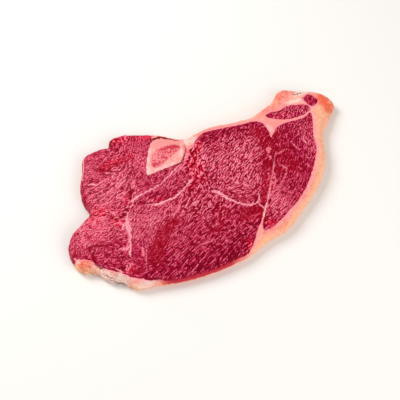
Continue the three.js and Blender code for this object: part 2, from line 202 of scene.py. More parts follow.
# Dark folds and clefts, with the shadows in them painted along these lines: x, y, half width
DARK_FOLD_AND_SHADOW_LINES = [
    [(-141, 16.6, 1.2), (-137, 11, 1.0), (-132.5, 8, 0.6), (-128, 9, 0.2)],
    [(-118, -3, 0.0), (-112.4, -6, 0.9), (-106, -5.2, 1.2), (-100, -2.6, 1.1), (-97.5, 1, 0.4)],
    [(-95, 5, 0.2), (-91, 12, 0.5), (-88.4, 18, 0.7), (-86.4, 24, 0.6), (-84, 30, 0.2)],
    [(-78, 33.4, 0.1), (-71, 34.6, 0.3), (-64, 34.6, 0.2)],
    [(-81.3, 43, 0.5), (-86.5, 35.3, 0.5), (-91.7, 28.2, 0.3)],
    [(-73.8, 50.6, 0.5), (-73.7, 47.6, 0.5)],
    [(-75.6, 45, 0.4), (-74.6, 41, 0.5)],
    [(-78.5, 54, 0.3), (-78.9, 50, 0.4)],
    [(-79.6, 47.5, 0.3), (-82, 45.6, 0.3)],
    [(-118.5, 35.2, 0.1), (-110, 36.2, 0.4), (-103, 38.4, 0.1)],
    [(-130.3, 28, 0.2), (-124, 28.4, 0.5), (-117, 30.6, 0.2)],
    [(-113, 29, 0.2), (-107, 31.6, 0.4), (-98, 36.5, 0.1)],
    [(-124, 23.6, 0.2), (-116, 26, 0.4)],
    [(-109, 21, 0.1), (-103, 24.5, 0.4), (-97, 29, 0.1)],
    [(-128.1, 54, 0.1), (-125.2, 50.3, 0.7), (-120.4, 47.8, 0.8), (-114, 46.4, 0.1)],
    [(-130.5, 46.5, 0.5), (-125, 44, 0.6), (-119, 42, 0.1)],
    [(-112.5, 64.9, 0.2), (-109, 60.6, 0.8), (-106, 58.4, 0.5)],
    [(-106, 57, 0.3), (-99.5, 53.6, 0.9), (-94, 50.4, 0.6), (-88, 49, 0.1)],
    [(-110, 53, 0.2), (-103, 50, 0.7), (-98, 48, 0.1)],
    [(-98, 63, 0.2), (-90, 61, 0.9), (-83, 60, 0.6), (-78, 61, 0.1)],
    [(-88.6, 79, 0.4), (-86.6, 83.5, 1.0), (-85.4, 89, 1.3), (-83.5, 94, 1.2), (-80, 97.5, 0.8)],
    [(-82, 77.4, 0.9), (-80.4, 78.6, 0.8)],
    [(-86, 63.2, 0.4), (-80, 63.4, 0.8), (-75.4, 65, 0.3)],
    [(85.2, 24, 0.3), (81, 15, 0.5), (76, 6, 0.6), (70, -4, 0.5), (64, -14, 0.2)],
    [(-7.4, -12, 0.3), (-4, -12.4, 0.6), (0.6, -15.4, 0.4), (4, -21.4, 0.3), (8, -28.6, 0.3),
     (13, -35.4, 0.0)],
    [(33, -63, 0.2), (28.4, -70, 0.5), (25.4, -77, 0.3)],
    [(-79, 0.4, 0.4), (-74, -0.6, 0.4), (-66, -3, 0.3)],
    [(-46, -2.4, 0.1), (-38.5, 1.8, 0.3), (-33.7, 4, 0.4), (-27, 7.8, 0.1)],
    [(-93, 4, 0.3), (-87, 6.4, 0.5), (-81, 4, 0.3)],
    [(-151.5, -30, 0.4), (-149.1, -27.6, 0.9), (-143.7, -28.2, 1.0), (-138.5, -30.2, 0.5),
     (-133.4, -33, 0.0)],
    [(-145.2, -30.6, 0.1), (-148.7, -34.4, 0.5), (-150.9, -38, 0.8), (-151.8, -42, 0.9),
     (-151.2, -46.4, 0.7), (-148.7, -50.9, 0.5), (-145, -54.7, 0.3)],
    [(-118.6, -6, 0.0), (-119.6, -17.2, 0.1), (-121.6, -29.9, 0.1), (-119, -35.5, 0.0)],
    [(-44, 72.6, 0.4), (-41.7, 74.8, 1.0), (-37.7, 76.5, 1.3), (-31, 75.5, 1.3), (-25.6, 71.6, 1.0),
     (-21, 67.7, 0.4), (-14, 62, 0.0)],
    [(-33, 33.2, 0.1), (-24, 34, 0.4), (-18.6, 38.4, 0.5), (-15.6, 43, 0.3)],
    [(-143.6, -70.6, 0.1), (-140.8, -73.4, 0.6), (-138, -75.4, 0.8), (-134.6, -77.4, 0.5),
     (-131, -79, 0.1)],
    [(-145.4, -66.6, 0.1), (-142, -69.4, 0.4)],
    [(-150, -57.6, 0.0), (-144, -63.6, 0.2), (-138, -68, 0.0)],
    [(-113.4, -79.4, 0.4), (-109, -82, 0.7), (-104, -84.6, 0.6), (-99, -87.6, 0.2)],
    [(138.4, 72.8, 0.9), (139, 72.8, 0.9)],
    [(142.4, 72.2, 0.9), (142.8, 72.2, 0.9)],
    [(133.4, 74, 0.4), (135.4, 73.6, 0.4)],
]

# Where the outer edge is torn rather than smooth: x, y, half widths, extra unevenness in mm
RAGGED_EDGE = [
    (-162, -50, 12, 10, 1.1), (-136, -74, 16, 10, 1.1), (-76, 97, 14, 8, 0.9), (126, 86, 22, 12, 1.2),
    (166, 46, 8, 14, 0.6),
]

# A thin pale skin on the side of the left lobe: first place, last place, depth in from the edge,
# then the part of it that shows: x, y, half widths, amount
SIDE_SKIN = ((-108, 92), (-141, 44), 1.6)
SIDE_SKIN_PART = [(-126, 72, 20, 22, 1.0)]

# Where the red of the meat shows through the skin of fat: x, y, half widths, amount
FLUSH = [(-58, -101, 42, 16, 1.6), (-14, 50, 4, 8, 0.9)]

# Pieces in the order in which they take their cells, then the fat, which takes the rest
OUTLINES = {
    "lean_centre": CENTRE, "marrow": MARROW, "bone": BONE, "lean_left": LEFT,
    "lean_corner": CORNER, "lean_cap": CAP, "lean_strip": STRIP, "lean_tip": TIP,
}
FAT = "fat_rim"

# Run of the cut grain: x, y, reach, direction in degrees, share of coarse strokes, strength, run
GRAIN_FLOWS = [
    (36, 18, 26, 33, 1.0, 1.0, 1.1), (8, 24, 16, 40, 0.9, 1.0, 0.8), (60, 0, 18, 30, 1.0, 1.0, 1.1),
    (22, 52, 14, 12, 1.0, 1.1, 1.4), (46, 50, 14, 26, 1.0, 1.1, 1.3), (34, 36, 12, 22, 1.0, 1.1, 1.2),
    (70, 40, 10, 30, 0.8, 0.9, 1.0), (22, 0, 14, 42, 1.0, 1.0, 0.8), (40, -14, 14, 40, 0.9, 1.0, 0.9),
    (20, -24, 14, -40, 0.7, 0.9, 0.7), (-20, 6, 14, 36, 0.6, 1.0, 0.8), (-48, 10, 20, 26, 0.3, 1.1, 1.0),
    (-76, 22, 12, 30, 0.2, 0.7, 0.9), (-88, -16, 18, 24, 0.2, 1.0, 0.9),
    (-92, -38, 16, 34, 0.1, 1.0, 0.9), (-60, -40, 24, 30, 0.2, 1.0, 1.2),
    (-30, -32, 22, 34, 0.5, 1.0, 0.9), (0, -40, 18, 38, 0.5, 1.0, 1.0), (-30, -62, 20, 28, 0.5, 1.2, 1.6),
    (-46, -84, 22, 24, 0.8, 1.5, 2.6), (-14, -86, 20, 20, 0.8, 1.5, 2.6),
    (10, -68, 20, 20, 0.7, 1.4, 2.4), (26, -54, 14, 26, 0.5, 1.2, 1.8), (-78, -84, 18, 22, 0.6, 1.3, 2.2),
    (-110, 72, 18, 8, 0.2, 0.8, 0.9), (-92, 78, 16, 22, 0.2, 0.8, 0.9), (-124, 36, 12, 2, 0.3, 1.0, 1.6),
    (-106, 28, 16, 16, 0.3, 1.0, 1.5), (-96, 46, 14, 24, 0.4, 1.0, 1.1), (-82, 36, 12, 42, 0.4, 1.0, 1.1),
    (-66, 66, 16, 60, 0.2, 0.6, 0.8), (96, 4, 14, 56, 0.6, 1.0, 1.0), (92, -18, 18, 48, 0.6, 1.0, 1.2),
    (74, -32, 16, 36, 0.5, 1.0, 1.4), (60, -44, 14, 28, 0.4, 0.9, 1.2), (100, 20, 12, 80, 0.8, 1.0, 0.9),
    (118, 14, 12, 62, 0.6, 0.9, 1.0), (-112, 2, 12, -10, 0.2, 0.8, 1.0), (-134, -8, 16, 0, 0.1, 0.8, 0.9),
    (-150, -24, 14, 40, 0.1, 0.7, 0.9), (-128, -38, 14, -14, 0.4, 0.9, 1.1),
    (-112, -54, 12, -14, 0.3, 0.9, 1.0), (118, 50, 24, 40, 0.8, 1.1, 0.8),
    (149, 56, 8, 60, 0.2, 0.7, 1.2), (126, 78, 12, 30, 0.8, 1.0, 2.0),
    (-136, -70, 12, -42, 0.8, 1.0, 3.0), (-160, -44, 8, -40, 0.6, 1.0, 2.0),
    (164, 46, 10, 70, 0.6, 0.9, 1.6), (100, 66, 10, 24, 0.6, 0.8, 1.8),
]

# Noise drawn out along the grain: size, how far it is drawn out, seed
FINE_STROKES = (0.9, 1.2, 11)
WIDE_STROKES = (1.5, 1.9, 12)
CREVICES = (2.4, 1.8, 14)
WIDE_LUMPS = (4.6, 2.4, 17)
FINE_LUMPS = (2.3, 1.0, 18)
EDGE_TEARS = (1.6, 0.4, 23)
CREVICE_WIDTH = 0.2    # how near to zero that noise is in a crevice
STROKE_CONTRAST = 2.2  # how sharply the strokes turn from pit to ridge
GRAIN_LIMIT = 1.2      # the most that the grain stands or sinks

# Wander of the grain: degrees, size, seed. Wander of the borders: size, reach, seed
GRAIN_WANDER = ((20, 13.0, 51), (34, 4.5, 52))
BORDER_WANDER = ((5.0, 0.55, 71), (2.2, 0.3, 73))

# Where the meat is torn into soft lumps: x, y, half widths, height
LUMPS = [
    (-8, 32, 9, 26, 2.2), (-2, 46, 12, 8, 1.4), (-14, 12, 8, 14, 1.4), (-30, -18, 24, 14, 0.9),
    (-10, -34, 26, 18, 0.8), (-24, 0, 14, 8, 0.9), (-84, 70, 18, 12, 0.9), (-72, 90, 16, 8, 1.4),
    (-128, 4, 14, 8, 1.0), (-110, -6, 10, 8, 1.2), (-60, -46, 40, 26, 0.45), (10, -40, 40, 30, 0.5),
    (80, 0, 20, 34, 0.4), (78, 26, 8, 14, 0.9), (62, -12, 6, 20, 0.8), (-93, 8, 8, 14, 1.3),
    (-124, -68, 16, 8, 0.9), (-70, 0, 16, 6, 0.9), (26, 42, 30, 12, 0.6), (-34, 4, 16, 6, 0.8),
    (-106, 42, 24, 24, 0.4), (-134, -44, 16, 14, 0.6), (-20, 32, 10, 6, 1.2), (-78, 20, 10, 8, 0.8),
]

# How dusty and pale the meat is, or how deep: x, y, half widths, amount. The dusty pale pink is partly the
# meat's own dry surface and partly a painted broad sheen, the soft lights' reflection painted into the
# colour.
TONES = [
    (35, 15, 32, 28, 0.62), (36, -16, 22, 10, 0.4), (46, 54, 44, 6, -0.36), (-88, -18, 20, 20, 0.3),
    (-50, -20, 28, 9, 0.22), (-50, -90, 66, 10, -0.2), (-96, -74, 16, 12, -0.2), (96, 0, 22, 40, -0.26),
    (118, 0, 8, 26, 0.36), (50, -56, 14, 14, 0.7), (-108, 70, 22, 14, 0.20), (-107, 34, 26, 20, 0.44),
    (-91, 34, 9, 20, 0.5), (-64, 54, 12, 18, 0.40), (-72, 25, 16, 9, -0.1), (-48, 16, 20, 8, 0.14),
    (-36, 4, 16, 5, -0.25), (-133, -6, 24, 16, 0.60), (-160, -20, 9, 20, 0.12), (120, 49, 20, 8, 0.3),
    (148, 56, 8, 8, -0.30), (-16, -24, 20, 12, 0.20), (-107, -62, 12, 14, -0.3), (32, -72, 6, 6, 0.8),
    (-104, 57, 12, 4, -0.2), (-2, 44, 10, 20, 0.5), (30, -60, 8, 20, -0.16), (-122, 16, 20, 8, 0.2),
    (24, -27, 12, 8, 0.3), (60, -2, 10, 10, -0.2), (-64, 2, 12, 8, -0.2),
]

# Where the meat is a clear crimson with little grain: x, y, half widths, amount
CRIMSON = [
    (78, 30, 9, 12, 0.9), (74, 12, 5, 12, 1.0), (62, -10, 5, 12, 0.9), (52, -26, 5, 10, 0.9),
    (46.5, -34, 5, 7, 1.2), (72, 42, 12, 7, 0.4), (88, 2, 11, 16, 0.6), (80, -18, 12, 14, 0.8),
    (-90, -60, 6, 7, 1.6), (-84, -53, 6, 6, 1.8), (-77, -46, 6, 6, 1.9), (-69, -38, 6, 5, 1.9),
    (-60, -32, 6, 4, 1.5), (-92, -68, 10, 8, 0.6), (-22, -59, 7, 5, 0.9), (-14, -50, 6, 6, 0.9),
    (-6, -42, 6, 6, 0.7), (30, -62, 8, 12, 0.8), (40, -46, 6, 8, 0.9), (16, -56, 12, 8, 0.5),
    (-26, -1, 12, 5, 0.9), (-12, 8, 7, 9, 0.5), (72, 22, 8, 20, 0.8), (60, -8, 8, 14, 0.6),
    (96, -24, 10, 14, 0.4), (94, 26, 12, 8, 0.5), (112, 0, 5, 18, 0.3), (-40, -28, 30, 8, 0.3),
    (-50, -58, 30, 14, 0.3), (10, -34, 20, 6, 0.5), (20, -50, 16, 8, 0.6), (-40, -14, 12, 4, 0.6),
    (-70, 90, 13, 5, 1.2), (-84, 93, 6, 6, 2.4), (-84, 64, 14, 4.6, 1.7), (-98, 60, 11, 4, 1.2),
    (-81, 78, 4, 4, 0.9), (-106, 57, 8, 3, 0.4), (-138, 40, 4, 14, 0.6), (-93, 10, 4, 8, 1.1),
    (-88, 20, 3, 8, 0.9), (-106, -4, 9, 3.4, 1.2), (-64, -1, 14, 3, 0.9), (-114, -12.4, 4, 5, 1.2),
    (-134, 8, 7, 4, 0.8), (-117, -73, 13, 4, 0.7), (-143, -29, 8, 2.4, 0.9), (-151, -42, 3, 9, 0.9),
    (-168, -32, 6, 8, 0.6), (108, 51, 12, 4, 0.5),
]

# Where the meat is torn and bright: x, y, half widths, amount
RAW = [
    (-10, 30, 8, 22, 1.2), (-2, 46, 10, 8, 1.3), (-14, 10, 7, 10, 0.7), (-72, 91, 14, 7, 0.9),
    (-43, 84, 10, 6, 1.3), (-84, 64, 14, 4, 1.1), (-98, 61, 10, 3.5, 0.6), (-126, 10, 14, 7, 0.8),
    (-112, -10, 6, 8, 0.9), (-136, 2, 12, 8, 0.4), (-140, -14, 22, 14, 0.35), (-66, -1, 14, 3, 0.6),
    (-30, 2, 10, 5, 0.5), (-26, -12, 16, 8, 0.4), (-94, 8, 4, 12, 0.7), (-18, 34, 8, 5, 0.6),
    (74, 30, 5, 14, 0.4), (54, -30, 8, 12, 0.4), (16, -60, 20, 8, 0.35), (104, 50, 14, 5, 0.5),
    (-122, -66, 12, 6, 0.6), (-134, 36, 4, 12, 0.3), (20, -88, 12, 5, 0.4), (4, -88, 7, 6, 0.8),
    (34, -74, 6, 6, 1.0),
]

# Fibres that run in the fat: x, y, half widths, amount
FIBRES = [
    (122, 80, 20, 9, 1.2), (-140, -66, 24, 12, 1.2), (-162, -43, 9, 9, 1.0), (162, 46, 8, 14, 0.5),
    (100, 66, 16, 9, 0.9), (150, 68, 12, 8, 0.7), (0, 60, 12, 8, 0.6), (34, 66, 40, 6, 0.4),
    (150, 20, 14, 30, 0.35), (90, -52, 30, 16, 0.4), (40, -78, 30, 10, 0.5),
]

# Redder places of the marrow: x, y, half widths, amount
MARROW_BLOOD = [
    (-21, 55.6, 6, 2.6, 1.3), (-31, 58.4, 8, 2.2, 1.1), (-51, 44, 3, 4, 0.9), (-46, 42, 3, 2.4, 0.7),
    (-39, 47.4, 3, 2.4, 0.8), (-34, 53, 5, 2, 0.5), (-28, 51, 4, 1.6, 0.4),
]

# Where the fat turns orange or rosy or stays white: x, y, half widths, amount. The orange is painted shade
# on fat that slopes away, warmed by painted light thrown back from below.
ORANGE_SHADE_FAT = [
    (166, 38, 8, 14, 1.9), (164, 54, 9, 9, 1.5), (-162, -45, 9, 9, 0.7), (60, -80, 60, 8, 0.3),
    (150, 12, 8, 16, 0.25), (-60, -97, 50, 5, 0.7), (108, 79, 12, 5, 0.7), (124, 87, 12, 4, 0.6),
]
ROSY_FAT = [
    (122, 80, 18, 9, 0.9), (30, 64, 60, 8, 0.8), (88, 42, 9, 12, 1.0), (98, 62, 16, 8, 0.8),
    (-108, -84, 12, 6, 0.3), (128, 65, 16, 6, 0.6), (-36, 69, 12, 6, 0.9), (-19, 62, 8, 6, 0.8),
    (110, 40, 24, 4, 0.7),
]
WHITE_FAT = [
    (-139, -71, 15, 9, 1.3), (-150, -58, 8, 5, 0.8), (-3, 59, 8, 6, 1.3), (130, 63.5, 12, 4, 0.7),
    (146, 73, 14, 5, 1.0), (-106, -86, 14, 4, 0.8), (-61, 40, 3, 9, 1.1), (-55.6, 54, 2.6, 8, 1.0),
    (-50, 64, 2.6, 6, 0.9), (-42, 36, 20, 3, 0.6), (-17, 44, 4, 7, 0.8), (168, 48, 3, 4, 0.4),
    (86, 38, 5, 10, 0.4),
]

# Marks of lines, and marks of bells: table, then the reach, size and seed of its noises
LINE_MARKS = {"pale": PALE_LINES, "pink": PINK_LINES, "dark_fold_shadow": DARK_FOLD_AND_SHADOW_LINES}
BELL_MARKS = {
    "tone": (TONES, (0.16, 16, 31), (0.14, 6, 32)), "crimson": (CRIMSON, (0.30, 8, 35), (0.12, 3.5, 36)),
    "raw": (RAW, (0.3, 5, 38)), "orange_shade": (ORANGE_SHADE_FAT, (0.25, 6, 33)), "rosy": (ROSY_FAT, (0.25, 7, 37)),
    "white": (WHITE_FAT, (0.2, 5, 34)), "flush": (FLUSH,), "fibre": (FIBRES,), "blood": (MARROW_BLOOD,),
}
BASE_TONE = 0.36       # tone of the meat outside its bells
LUMP_GRAIN = 0.45      # how far a lump counts as a stroke of the grain
LUMP_CRIMSON = 0.5     # and how far it takes the crimson away

# How far each kind of piece stands or sinks with its grain and its lumps
RELIEF = {"lean": (0.26, 0.35), "fat": (0.05, 0.45), "bone": (0.05, 0.12), "marrow": (0.10, 0.15)}
FIBRE_RELIEF = 0.25    # the same for fibres in the fat
TORN_RELIEF = 0.4      # and for the torn lumps
GRAIN_LEVEL = 0.4      # grain that neither stands nor sinks
LUMP_LEVEL = 0.3       # and lumps

# Grooves along lines and borders: mark, depth, half width of the flat bottom, width of the slope
GROOVES = [("pale", 0.4, 0.4, 1.2), ("dark_fold_shadow", 0.5, 0.2, 0.9), ("meet", 0.4, 0.0, 1.2)]
MARK_DROP = 0.8        # share of the depth below the edge by which marks move out on the sides


def closed_curve(points, step):
    """Points about one step apart along the closed centripetal Catmull-Rom curve.

    On each span the curve is the cubic whose end slopes come from the neighbouring points, with
    parameter steps equal to the square root of the point distances.
    """
    p1 = np.asarray(points, float)
    p0, p2, p3 = np.roll(p1, 1, 0), np.roll(p1, -1, 0), np.roll(p1, -2, 0)

    def root(a, b):
        return np.sqrt(np.linalg.norm(b - a, axis=1))[:, None]

    d0, d1, d2 = root(p0, p1), root(p1, p2), root(p2, p3)
    m1 = ((p1 - p0) / d0 - (p2 - p0) / (d0 + d1) + (p2 - p1) / d1) * d1
    m2 = ((p2 - p1) / d1 - (p3 - p1) / (d1 + d2) + (p3 - p2) / d2) * d1
    t = np.linspace(0, 1, 64, endpoint=False)[None, :, None]
    a, b, c, d = (q[:, None, :] for q in (p1, m1, -3 * p1 + 3 * p2 - 2 * m1 - m2, 2 * p1 - 2 * p2 + m1 + m2))
    dense = (a + b * t + c * t**2 + d * t**3).reshape(-1, 2)
    return spaced(np.vstack([dense, dense[:1]]), step)[:-1]


def ragged(points):
    """Points shifted by smooth noise of their place, so that every border is a little uneven and
    lines that share a border still meet."""
    x, y = points[:, 0].copy(), points[:, 1].copy()
    for size, reach, seed in BORDER_WANDER:
        x += reach * noise(points[:, 0], points[:, 1], size, seed)
        y += reach * noise(points[:, 0], points[:, 1], size, seed + 1)
    return np.column_stack([x, y, points[:, 2:]])


def spaced(line, step):
    """Points evenly spaced along a polyline, about one step apart, both ends kept."""
    length = np.concatenate([[0], np.cumsum(np.linalg.norm(np.diff(line[:, :2], axis=0), axis=1))])
    along = np.linspace(0, length[-1], max(2, round(length[-1] / step) + 1))
    return np.stack([np.interp(along, length, line[:, k]) for k in range(line.shape[1])], axis=1)


def bells(x, y, table):
    """Sum of bell-shaped bumps, each (x, y, half widths, height)."""
    total = np.zeros_like(x)
    for cx, cy, wide, deep, height in table:
        total += height * np.exp(-(((x - cx) / wide) ** 2) - ((y - cy) / deep) ** 2)
    return total


def noise(x, y, size, seed):
    """Smooth gradient noise, about -1 to 1: random slopes at the corners of a square lattice of the
    given size, blended across each cell by the quintic step. Each use has a seed of its own."""
    u, v = x / size, y / size
    i, j = np.floor(u).astype(int), np.floor(v).astype(int)
    f, g = u - i, v - j
    angle = np.random.default_rng(seed).uniform(0, 2 * np.pi, (256, 256))

    def corner(di, dj):
        turn = angle[(i + di) % 256, (j + dj) % 256]
        return np.cos(turn) * (f - di) + np.sin(turn) * (g - dj)

    s, t = (k**3 * (k * (6 * k - 15) + 10) for k in (f, g))
    low = corner(0, 0) * (1 - s) + corner(1, 0) * s
    high = corner(0, 1) * (1 - s) + corner(1, 1) * s
    return 1.5 * (low * (1 - t) + high * t)


def nearest(points, x, y):
    """Distance from each place to the nearest of some points, and which point that is."""
    px, py = points[:, 0].astype(np.float32), points[:, 1].astype(np.float32)
    distance, index = np.empty(len(x)), np.empty(len(x), int)
    block = max(1, BLOCK // len(px))
    for start in range(0, len(x), block):
        part = slice(start, start + block)
        square = (x[part, None].astype(np.float32) - px) ** 2 + (y[part, None].astype(np.float32) - py) ** 2
        index[part] = square.argmin(axis=1)
        distance[part] = np.sqrt(square[np.arange(len(square)), index[part]])
    return distance, index


def inside(polygon, x, y):
    """Whether each place lies inside a polygon: a level ray from it crosses an odd count of sides."""
    found = np.zeros(len(x), bool)
    a, b = polygon, np.roll(polygon, -1, 0)
    for (ax, ay), (bx, by) in zip(a, b):
        if ay != by:
            crosses = (ay > y) != (by > y)
            found ^= crosses & (x < ax + (bx - ax) * (y - ay) / (by - ay))
    return found


def inward_normals(curve):
    """Unit vectors across a closed curve, pointing into it, smoothed over a few points."""
    along = np.roll(curve, -4, 0) - np.roll(curve, 4, 0)
    across = np.stack([-along[:, 1], along[:, 0]], axis=1) / np.linalg.norm(along, axis=1)[:, None]
    area = np.sum(curve[:, 0] * np.roll(curve[:, 1], -1) - np.roll(curve[:, 0], -1) * curve[:, 1])
    return across * np.sign(area)


def smooth_step(low, high, value):
    """Zero below low, one above high, and a smooth S between."""
    k = np.clip((value - low) / (high - low), 0, 1)
    return k * k * (3 - 2 * k)


def line_reach(lines, x, y):
    """Distance from each place to the nearest line, less the line's half width there, with the lines
    and their widths made uneven by noise."""
    samples = ragged(np.vstack([spaced(np.asarray(line, float), LINE_STEP) for line in lines]))
    half_width = samples[:, 2] * (1 + 0.8 * noise(samples[:, 0], samples[:, 1], 2.6, 75))
    samples[:, 0] += 0.7 * noise(samples[:, 0], samples[:, 1], 2.4, 76)
    samples[:, 1] += 0.7 * noise(samples[:, 0], samples[:, 1], 2.4, 77)
    distance, index = nearest(samples, x, y)
    return np.minimum(distance - half_width[index], FAR)


def grain_flow(x, y):
    """Direction of the cut grain, share of coarse strokes, strength and length of run: the flows'
    own, weighted by a bell of the distance to each (directions as double angles), with a slow and
    a quick wander that is less where the run is long."""
    cosine, sine, coarse, strong, run, total = (np.zeros_like(x) for _ in range(6))
    for cx, cy, reach, degrees, share, strength, length in GRAIN_FLOWS:
        weight = np.exp(-((x - cx) ** 2 + (y - cy) ** 2) / reach**2) + 1e-9
        cosine += weight * math.cos(2 * math.radians(degrees))
        sine += weight * math.sin(2 * math.radians(degrees))
        coarse += weight * share
        strong += weight * strength
        run += weight * length
        total += weight
    coarse, strong, run = coarse / total, strong / total, run / total
    wander = sum(math.radians(most) * noise(x, y, size, seed) for most, size, seed in GRAIN_WANDER)
    return np.arctan2(sine, cosine) / 2 + wander / np.maximum(run, 0.8), coarse, strong, run


def drawn_out(x, y, angle, run, kind):
    """Noise averaged along a short line at the given angle, so that it draws out into strokes, and
    further where the run is long."""
    size, reach, seed = kind
    steps = np.linspace(-1, 1, 7)
    over, up = reach * run * np.cos(angle), reach * run * np.sin(angle)
    return sum(noise(x + step * over, y + step * up, size, seed) for step in steps) / 3.2


def grain_strokes(x, y):
    """Strokes of the cut grain, about -1 to 1: crisp ridges and pits drawn out along the grain, fine
    or coarse by place, less dark crevices where a wider such noise crosses zero, here and there."""
    angle, coarse, strong, run = grain_flow(x, y)
    fine = drawn_out(x, y, angle, run, FINE_STROKES)
    wide = drawn_out(x, y, angle, run, WIDE_STROKES)
    both = (1 - 0.5 * coarse) * fine + 0.75 * coarse * wide
    stroke = np.tanh(STROKE_CONTRAST * both - 0.1 * (strong - 1))
    crossing = drawn_out(x, y, angle, run, CREVICES)
    here = smooth_step(0.1, 0.6, 0.9 * noise(x, y, 5.0, 15) + 0.6 * coarse)
    crevice = here * np.exp(-((crossing / CREVICE_WIDTH) ** 2))
    grain = 0.85 * stroke + 0.15 * noise(x, y, 4.0, 13) + 0.1 - crevice
    return strong * np.clip(grain, -GRAIN_LIMIT, GRAIN_LIMIT)


def lumps(x, y):
    """Soft torn lumps: noise of two sizes drawn out along the grain, as high as the table says."""
    angle, _, _, run = grain_flow(x, y)
    field = 0.7 * drawn_out(x, y, angle, run, WIDE_LUMPS)
    field += 0.9 * drawn_out(x, y, angle, run, FINE_LUMPS)
    return bells(x, y, LUMPS) * field


def roll_at(x, y):
    """Width over which the top edge rolls down to the side."""
    return ROLL + bells(x, y, LONG_SIDE_ROLL)


def cut_height(x, y):
    """Height of the cut face away from the edges, before its grain."""
    return THICKNESS + bells(x, y, SWELLS)


def long_side(x, y):
    """One along the long side, where the meat rolls right down to a thin skin of fat."""
    return smooth_step(0.25, 0.6, bells(x, y, LONG_SIDE))


def edge_angle(x, y):
    """Where the side begins on the roll's ellipse: high up, but low down on the long side."""
    return np.radians(EDGE_ANGLE - LONG_SIDE_DROP * long_side(x, y))


def edge_inset(x, y):
    """How far in from the outline the side begins."""
    return roll_at(x, y) * (1 - np.cos(edge_angle(x, y)))


class Lattice:
    """The square lattice over the steak: which piece each cell belongs to, and its corners."""

    def __init__(self):
        self.edge = closed_curve(STEAK, FINE)
        x, y = self.edge.T
        torn = bells(x, y, RAGGED_EDGE)
        wobble = (EDGE_WOBBLE + torn) * (noise(x, y, 5.0, 21) + 0.5 * noise(x, y, 2.2, 22)) + EDGE_SHRINK
        wobble += 0.9 * torn * np.clip(drawn_out(x, y, 0.0, 1.0, EDGE_TEARS), -0.2, 1)
        self.inward = inward_normals(self.edge)
        self.edge = self.edge + wobble[:, None] * self.inward
        self.edge_along = np.arange(len(self.edge)) * FINE
        low, high = self.edge.min(0) - CELL, self.edge.max(0) + CELL
        self.xs = np.arange(low[0], high[0], CELL)
        self.ys = np.arange(low[1], high[1], CELL)
        self.label_cells()
        self.place_corners()

    def label_cells(self):
        """Gives each cell the first outline that holds its middle, and the fat what is left and the
        thin skin along the long side."""
        mx, my = np.meshgrid(self.xs[:-1] + CELL / 2, self.ys[:-1] + CELL / 2)
        x, y = mx.ravel(), my.ravel()
        coarse = self.edge[:: round(COARSE / FINE)]
        self.labels = np.full(len(x), -1)
        ours = np.flatnonzero(inside(coarse, x, y))
        distance, index = nearest(self.edge[::2], x[ours], y[ours])
        rim = self.edge[::2][index]
        within = distance - edge_inset(*rim.T)
        rim, within, ours = rim[within > 0], within[within > 0], ours[within > 0]
        self.labels[ours] = len(OUTLINES)
        for number, outline in reversed(list(enumerate(OUTLINES.values()))):
            polygon = ragged(closed_curve(outline, COARSE / 3))
            self.labels[ours[inside(polygon, x[ours], y[ours])]] = number
        skin = (within < SKIN) & (long_side(*rim.T) > LONG_SIDE_FROM)
        self.labels[ours[skin]] = len(OUTLINES)
        self.labels = self.labels.reshape(mx.shape)
        self.tidy_labels()

    def tidy_labels(self):
        """A cell with at most one side neighbour of its own piece takes the label that two or more
        of its neighbours share. Three rounds settle it."""
        for _ in range(3):
            padded = np.pad(self.labels, 1, constant_values=-1)
            votes = np.stack([padded[:-2, 1:-1], padded[2:, 1:-1], padded[1:-1, :-2], padded[1:-1, 2:]])
            lonely = ((votes == self.labels).sum(0) <= 1) & (self.labels >= 0)
            best = np.zeros(self.labels.shape, int)
            score = np.full(self.labels.shape, -1)
            for side in votes:
                count = (votes == side).sum(0)
                better = (count > score) & (side != self.labels)
                best, score = np.where(better, side, best), np.where(better, count, score)
            self.labels = np.where(lonely & (score >= 2), best, self.labels)

    def place_corners(self):
        """Draws the corners on a border onto the nearest outline: the foot of the cut face round
        the steak, or the line where two pieces meet. Keeps each corner's distance in from the rim
        and the rim point that is nearest to it."""
        padded = np.pad(self.labels, 1, constant_values=-1)
        round_corner = np.stack([padded[:-1, :-1], padded[:-1, 1:], padded[1:, :-1], padded[1:, 1:]])
        self.used = (round_corner >= 0).any(0)
        row, column = np.nonzero(self.used)
        self.number = np.full(self.used.shape, -1)
        self.number[row, column] = np.arange(len(row))
        about = round_corner[:, row, column]
        x, y = self.xs[column], self.ys[row]
        at_side = (about < 0).any(0)
        at_seam = (about.max(0) != np.where(about < 0, 99, about).min(0)) & ~at_side

        meets = ragged(np.vstack([closed_curve(outline, FINE) for outline in OUTLINES.values()]))
        skin = self.edge + self.inward * (edge_inset(*self.edge.T) + SKIN)[:, None]
        meets = np.vstack([meets, skin[long_side(*self.edge.T) > LONG_SIDE_FROM]])
        seam = np.flatnonzero(at_seam)
        distance, index = nearest(meets, x[seam], y[seam])
        close = distance < CELL
        x[seam[close]] = meets[index[close], 0]
        y[seam[close]] = meets[index[close], 1]

        self.inset, self.rim = nearest(self.edge, x, y)
        side = np.flatnonzero(at_side)
        rim = self.rim[side]
        self.inset[side] = edge_inset(*self.edge[rim].T)
        foot = self.edge[rim] + self.inward[rim] * self.inset[side][:, None]
        x[side], y[side] = foot.T
        self.x, self.y, self.at_side, self.at_seam = x, y, at_side, at_seam


lattice = Lattice()


def side_skin(x, y):
    """Nearness to the thin pale skin along one stretch of the side, from 0 to 1."""
    first, last, depth = SIDE_SKIN
    start, end = (np.linalg.norm(lattice.edge - place, axis=1).argmin() for place in (first, last))
    stretch = slice(min(start, end), max(start, end))
    line = lattice.edge[stretch] + depth * lattice.inward[stretch]
    near = 1 - smooth_step(0.7, 2.0, nearest(line, x, y)[0] + 0.5 * noise(x, y, 3.0, 39))
    return near * smooth_step(0.3, 0.8, bells(x, y, SIDE_SKIN_PART) + 0.3 * noise(x, y, 5.0, 40))


